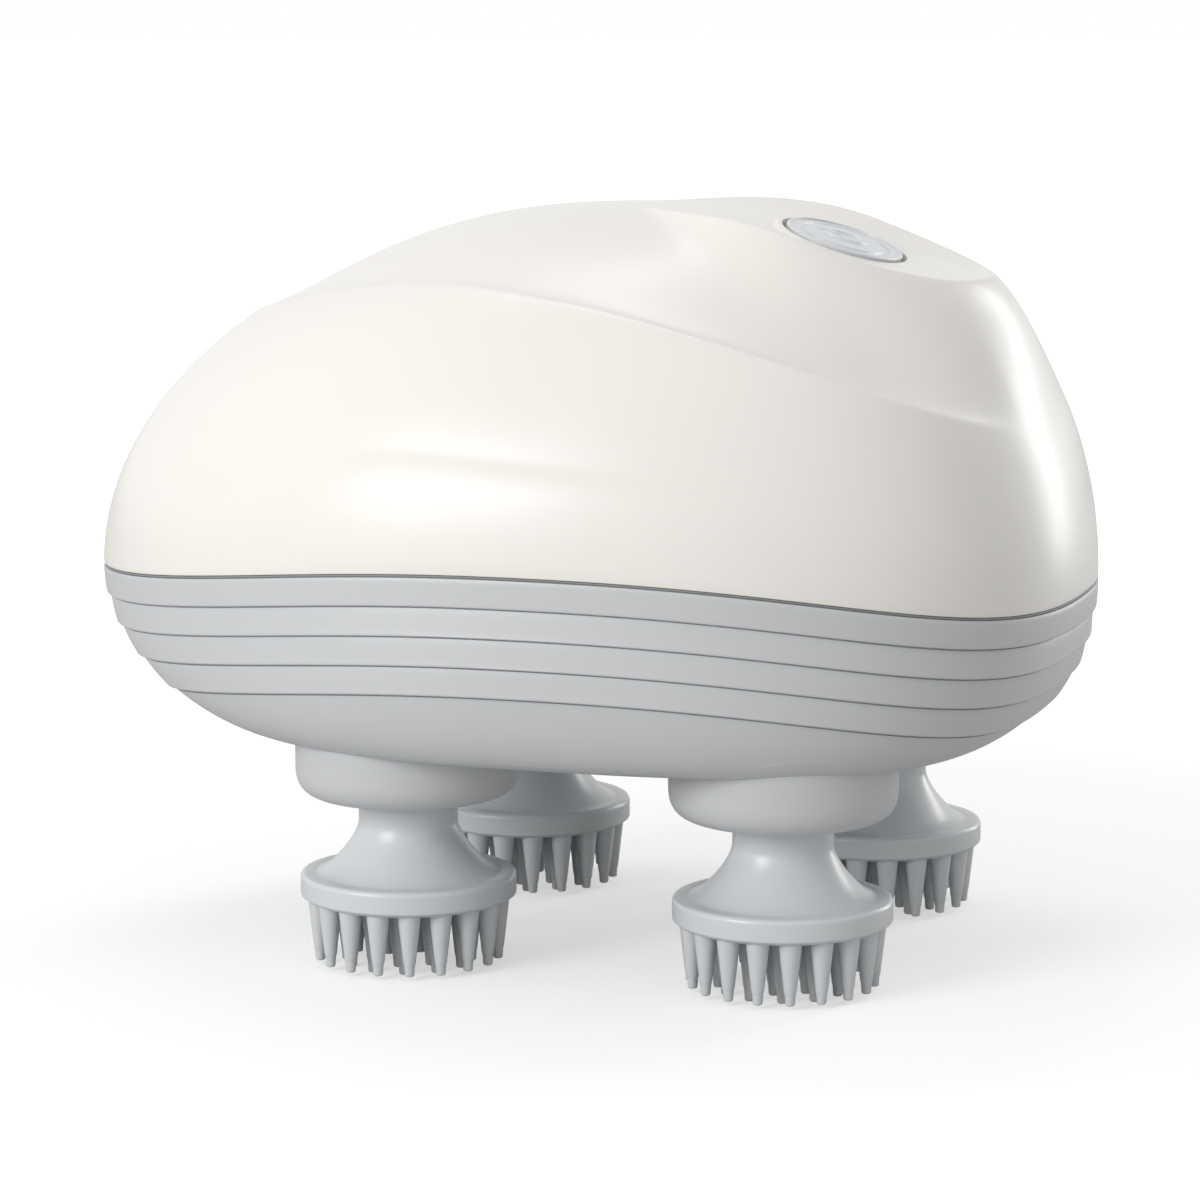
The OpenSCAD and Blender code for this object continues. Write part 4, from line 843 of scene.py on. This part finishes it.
# %% One bristle
PLATE_R, PLATE_Z, PLATE_T, NECK_TOP, FLARE_H = 13.0, 8.0, 3.1, 24.0, 6.4
BRISTLE_L, OUTER_SHORT, ROOT_R, ROOT_IN, TIP_R = 8.0, 0.5, 1.4, 0.4, 0.62
WAIST_Z, WAIST_END_Z = -BRISTLE_L * 0.78, -BRISTLE_L * 0.84
bristle_corners = [
    (0, ROOT_IN, 0), (ROOT_R, ROOT_IN, 0), (ROOT_R, -0.1, 0.15), (TIP_R * 1.2, WAIST_Z, 0.5),
    (TIP_R * 1.02, WAIST_END_Z, 0.4), (TIP_R * 0.9, -BRISTLE_L, TIP_R * 0.85),
    (0, -BRISTLE_L, 0)]
bristle = stack("bristle", turned(rounded(bristle_corners, 5)[1:-1], around=20), grey_silicone,
                [(0, 0, ROOT_IN), (0, 0, -BRISTLE_L)], sharp=PAD_SHARP)

# %% Node tree that sets the bristles
# Each ring: how many bristles, its radius in mm and the share of the full length
RINGS = {"Outer": (18, PLATE_R - 0.75 - ROOT_R, 1 - OUTER_SHORT / BRISTLE_L),
         "Middle": (12, PLATE_R * 0.58, 1.0), "Inner": (6, PLATE_R * 0.3, 1.0)}
INPUTS = {"Plate": "Geometry", "Bristle": "Object", "Centre": "Vector", "Finish": "Material"}
for ring in RINGS:
    INPUTS |= {f"{ring} Count": "Int", f"{ring} Radius": "Float", f"{ring} Length": "Float"}
tree = bpy.data.node_groups.new("bristle_rings", "GeometryNodeTree")
tree.interface.new_socket("Geometry", in_out="OUTPUT", socket_type="NodeSocketGeometry")
for label, kind in INPUTS.items():
    tree.interface.new_socket(label, in_out="INPUT", socket_type=f"NodeSocket{kind}")


def grow(kind, sockets, settings=None):
    """Adds a node to the tree, sets it and links its sockets; returns its first output."""
    made = tree.nodes.new(kind)
    for key, value in (settings or {}).items():
        setattr(made, key, value)
    for key, value in sockets.items():
        for source in value if isinstance(value, list) else [value]:
            if isinstance(source, bpy.types.NodeSocket):
                tree.links.new(source, made.inputs[key])
            else:
                made.inputs[key].default_value = source
    return made.outputs[0]


given = tree.nodes.new("NodeGroupInput").outputs
bristle_info = grow("GeometryNodeObjectInfo", {"Object": given["Bristle"]}).node
one_bristle = bristle_info.outputs["Geometry"]
rings = []
for ring in RINGS:
    count, radius, length = (given[f"{ring} {label}"] for label in ("Count", "Radius", "Length"))
    circle = grow("GeometryNodeMeshCircle", {"Vertices": count, "Radius": radius})
    half_step = grow("ShaderNodeMath", {0: pi, 1: count}, {"operation": "DIVIDE"})
    spun = grow("ShaderNodeCombineXYZ", {"Z": half_step})
    points = grow("GeometryNodeTransform", {"Geometry": circle, "Rotation": spun})
    size = grow("ShaderNodeCombineXYZ", {"X": 1.0, "Y": 1.0, "Z": length})
    rings.append(grow("GeometryNodeInstanceOnPoints",
                      {"Points": points, "Instance": one_bristle, "Scale": size}))
brush = grow("GeometryNodeJoinGeometry", {"Geometry": rings})
moved = grow("GeometryNodeTransform", {"Geometry": brush, "Translation": given["Centre"]})
whole = grow("GeometryNodeJoinGeometry", {"Geometry": [given["Plate"], moved]})
real = grow("GeometryNodeRealizeInstances", {"Geometry": whole})
finished = grow("GeometryNodeSetMaterial", {"Geometry": real, "Material": given["Finish"]})
tree.links.new(finished, tree.nodes.new("NodeGroupOutput").inputs["Geometry"])
print("bristle tree:", len(tree.nodes), "nodes")


# %% Pads
def set_inputs(modifier, values):
    """Sets a modifier's inputs by the names that its tree shows."""
    for item in modifier.node_group.interface.items_tree:
        if item.in_out == "INPUT" and item.name in values:
            modifier[item.identifier] = values[item.name]


BEAD, FOOT_IN, FOOT_PULL, NECK_PULL = 1.2, 0.6, 0.28, 0.35
FOOT_R, PLATE_TOP = PLATE_R - BEAD - FOOT_IN, PLATE_Z + PLATE_T
# The flare is a Bezier curve from the plate's top up to the neck, and the plate's corners
# run from its flat underside round the rim to the foot of the flare.
pulled = [(FOOT_R, PLATE_TOP - 0.05), (mix(FOOT_R, NECK_R, FOOT_PULL), PLATE_TOP + 0.1),
          (NECK_R, PLATE_TOP + FLARE_H * (1 - NECK_PULL)), (NECK_R, PLATE_TOP + FLARE_H)]
flare = [bezier(u, *pulled) for u in np.linspace(0, 1, 24)]
plate_corners = [
    (PLATE_R - 3, PLATE_Z, 0), (PLATE_R - 0.6, PLATE_Z, 0.15), (PLATE_R, PLATE_Z + 0.4, 0.3),
    (PLATE_R, PLATE_TOP, BEAD), (FOOT_R + 0.3, PLATE_TOP, 0.4), (*flare[0], 0)]
plate_profile = rounded(plate_corners, ARC_STEPS) + flare[1:] + [(NECK_R, NECK_TOP)]
inputs = {"Bristle": bristle, "Finish": grey_silicone}
for ring, (count, radius, length) in RINGS.items():
    inputs |= {f"{ring} Count": count, f"{ring} Radius": radius * MM, f"{ring} Length": length}
for corner, centre in HEAD_AT.items():
    plate = stack("plate", turned(plate_profile, centre, TOOL_POINTS), grey_silicone,
                  [(*centre, PLATE_Z), (*centre, NECK_TOP)], sharp=PAD_SHARP)
    bristles = plate.modifiers.new("bristles", "NODES")
    bristles.node_group = tree
    inputs["Centre"] = (centre[0] * MM, centre[1] * MM, PLATE_Z * MM)
    set_inputs(bristles, inputs)
    grown = evaluated(plate)
    bpy.data.objects.remove(plate)
    pad = piece_from_mesh(f"pad_{corner}_moulded", grown, grey_silicone, sharp=PAD_SHARP)
    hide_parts(f"pad_{corner}")
    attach(pad, f"head_{corner}")
bpy.data.objects.remove(bristle)
print("pads:", len(HEAD_AT), "with", sum(ring[0] for ring in RINGS.values()), "bristles each,",
      len(pad.data.polygons), "faces")

# %% [markdown]
# ## Button
#
# The button is a soft-touch oval on the sloping facet. Its top carries a shallow relief:
# an oval groove near the rim, and inside it the common power sign, a broken ring with a
# bar. The relief is a height that depends on the place on the oval, so it is drawn by a
# formula, and the edge is a rounded profile scaled round the oval.

# %% Relief on the button
# Heights are in mm. The groove lies at a share of the oval, which GROOVE_SCALE turns into
# mm. The sign is a ring with a gap, given in radians, and a bar that stands in the gap.
CROWN, GROOVE_DEEP, SIGN_HIGH = 0.22, 0.28, 0.24
GROOVE_AT, GROOVE_SCALE, GROOVE_HALF = 0.74, 6.3, 0.32
SIGN_R, SIGN_HALF, GAP_HALF, GAP_SOFT = 2.4, 0.34, 0.42, 0.12
BAR_U, BAR_HALF, BAR_SOFT, BAR_END = -2.2, 0.6, 0.9, 1.7


def ridge(distance, half_width):
    """A soft ridge: height 1 up to half of the half width, gone at one and a half."""
    return 1 - ramp(np.abs(distance) / half_width, 0.5, 1.0)


def relief(u, v):
    """Height of the top in mm: a slight crown, an oval groove and the power sign."""
    oval_r = np.hypot(u / (BUTTON_L / 2), v / (BUTTON_W / 2))
    groove = ridge((oval_r - GROOVE_AT) * GROOVE_SCALE, GROOVE_HALF)
    gap = ramp(np.abs(np.arctan2(v, -u)), GAP_HALF, GAP_SOFT)
    ring = ridge(np.hypot(u, v) - SIGN_R, SIGN_HALF) * gap
    along = np.abs(u - BAR_U)
    bar = ridge(v, SIGN_HALF) * ridge(along - BAR_HALF, BAR_SOFT) * (along < BAR_END)
    return CROWN * (1 - oval_r ** 2) - GROOVE_DEEP * groove + SIGN_HIGH * np.maximum(ring, bar)


# %% Rings of the button
# The flange, the straight side, a rounded edge and the top, which is carried by the relief
SIDE_TOP, EDGE_LOW, EDGE_W, EDGE_H, TOP_LOW = (
    BUTTON_PROUD - 0.75, BUTTON_PROUD - 0.45, 0.4, 0.3, BUTTON_PROUD - 0.37)
button_rings = [
    oval_ring(FLANGE_GROW, FLANGE_LOW), oval_ring(FLANGE_GROW, FLANGE_TOP - 0.1),
    oval_ring(FLANGE_GROW - 0.15, FLANGE_TOP), oval_ring(0.0, FLANGE_TOP),
    oval_ring(0.0, SIDE_TOP)]
for step in np.radians(np.linspace(0, 90, 8)):
    button_rings.append(oval_ring(-EDGE_W * (1 - cos(step)), EDGE_LOW + EDGE_H * sin(step)))
for share in np.linspace(0.995, 0.01, 84):
    u, v = oval_ring(-EDGE_W, 0, share)[:2]
    button_rings.append((u, v, TOP_LOW + relief(u, v)))
button_poles = [on_facet(0.0, 0.0, FLANGE_LOW), on_facet(0.0, 0.0, TOP_LOW + CROWN)]
button = stack("button_cap", [on_facet(*ring) for ring in button_rings], grey_button,
               button_poles, sharp=BUTTON_SHARP)
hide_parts("button")
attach(button, "button_cap")
print("button:", len(button.data.polygons), "faces")

# %% [markdown]
# ## Boot under the button
#
# A rubber boot keeps water out. Its plate is clamped to the shell, and on the real part
# its dome folds when the button comes down; here the piece is made in its rest shape only.

# %% Boot
BOOT_LOW, BOOT_T, BOOT_ROUND, DOME_TOP = -6.15, 0.9, 0.15, -3.65
BOOT_TOP, BOOT_GROW = BOOT_LOW + BOOT_T, FLANGE_GROW + RIB_T
# The dome's profile (r, w), from its foot over the bend to the flat top
dome = [(4.6, BOOT_TOP), (4.1, BOOT_TOP + 0.1), (3.85, BOOT_TOP + 0.35), (3.45, -4.5),
        (3.05, -4.0), (2.8, DOME_TOP - 0.08), (2.6, DOME_TOP)]
boot_rings = [oval_ring(BOOT_GROW, BOOT_LOW), oval_ring(BOOT_GROW, BOOT_TOP - BOOT_ROUND),
              oval_ring(BOOT_GROW - BOOT_ROUND, BOOT_TOP)]
boot_rings += [ring.T for ring in turned(dome, around=OVAL_POINTS)]
boot = stack("button_boot_moulded", [on_facet(*ring) for ring in boot_rings], dark_rubber,
             [on_facet(0.0, 0.0, BOOT_LOW), on_facet(0.0, 0.0, DOME_TOP)], sharp=BUTTON_SHARP)
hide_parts("button_boot")
tuple(on_facet(0.0, 0.0, BOOT_TOP) * MM)
tuple(on_facet(0.0, 0.0, DOME_TOP) * MM)
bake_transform(boot)
print("boot:", len(boot.data.polygons), "faces")

# %% [markdown]
# ## Light and floor
#
# A large soft box to the left gives the body its broad light, a narrow one behind lights
# the right edge, and a long one overhead draws the crease of the crest. The world looks
# white to the camera and in reflections but lights the piece less. The floor is shaded
# grey paper with a glow that only the camera sees, and it fades to white further out.

# %% Lights
HERE = Vector((5.0, 0.0, 45.0)) * MM


def soft_box(name, left, up, front, width, height, watts):
    """Soft box placed as the camera sees it: so many mm to the left, up and towards it."""
    lamp = bpy.data.lights.new(name, "AREA")
    lamp.shape = "RECTANGLE"
    lamp.size, lamp.size_y, lamp.energy = width * MM, height * MM, watts
    holder = bpy.data.objects.new(name, lamp)
    holder.location = HERE + (rightward * -left - away * front + Vector((0, 0, up))) * MM
    holder.rotation_mode = "QUATERNION"
    holder.rotation_quaternion = (HERE - holder.location).to_track_quat("-Z", "Y")
    bpy.context.scene.collection.objects.link(holder)


soft_box("key", 500, 250, 460, 340, 300, 2.45)
soft_box("rim", -470, 160, -400, 120, 420, 1.05)
soft_box("top", 60, 600, -240, 320, 40, 0.4)

# %% World
AMBIENT = 0.545
world = bpy.data.worlds.new("studio")
bpy.context.scene.world = world
world.use_nodes = True
rays = world.node_tree.nodes.new("ShaderNodeLightPath")
seen = rays.outputs["Is Camera Ray"]
for kind in ("Is Glossy Ray", "Is Transmission Ray"):
    either = world.node_tree.nodes.new("ShaderNodeMath")
    either.operation = "MAXIMUM"
    world.node_tree.links.new(seen, either.inputs[0])
    world.node_tree.links.new(rays.outputs[kind], either.inputs[1])
    seen = either.outputs[0]
strength = world.node_tree.nodes.new("ShaderNodeMapRange")
strength.inputs["To Min"].default_value = AMBIENT
background = world.node_tree.nodes["Background"]
background.inputs["Color"].default_value = (1, 1, 1, 1)
world.node_tree.links.new(seen, strength.inputs["Value"])
world.node_tree.links.new(strength.outputs[0], background.inputs["Strength"])

# %% Floor
FLOOR_GLOW, FADE_FROM, FADE_TO, FLOOR_R = 0.52, 110.0, 260.0, 3000.0
floor_mesh = bpy.data.meshes.new("floor")
work = bmesh.new()
bmesh.ops.create_circle(work, cap_ends=True, segments=96, radius=FLOOR_R * MM)
work.to_mesh(floor_mesh)
work.free()
floor = bpy.data.objects.new("floor", floor_mesh)
bpy.context.scene.collection.objects.link(floor)
paper = Finish("floor", Roughness=0.9, Base_Color=(0.6, 0.6, 0.6, 1), Specular_IOR_Level=0.0,
               Emission_Color=(1, 1, 1, 1))
distance = paper.node("ShaderNodeVectorMath", {"operation": "LENGTH"}, {0: paper.place}, "Value")
glow = paper.span(distance, FADE_FROM * MM, FADE_TO * MM, FLOOR_GLOW, 1.0)
paper.feed("Emission Strength", glow * paper.node("ShaderNodeLightPath", out="Is Camera Ray"))
floor_mesh.materials.append(paper.material)
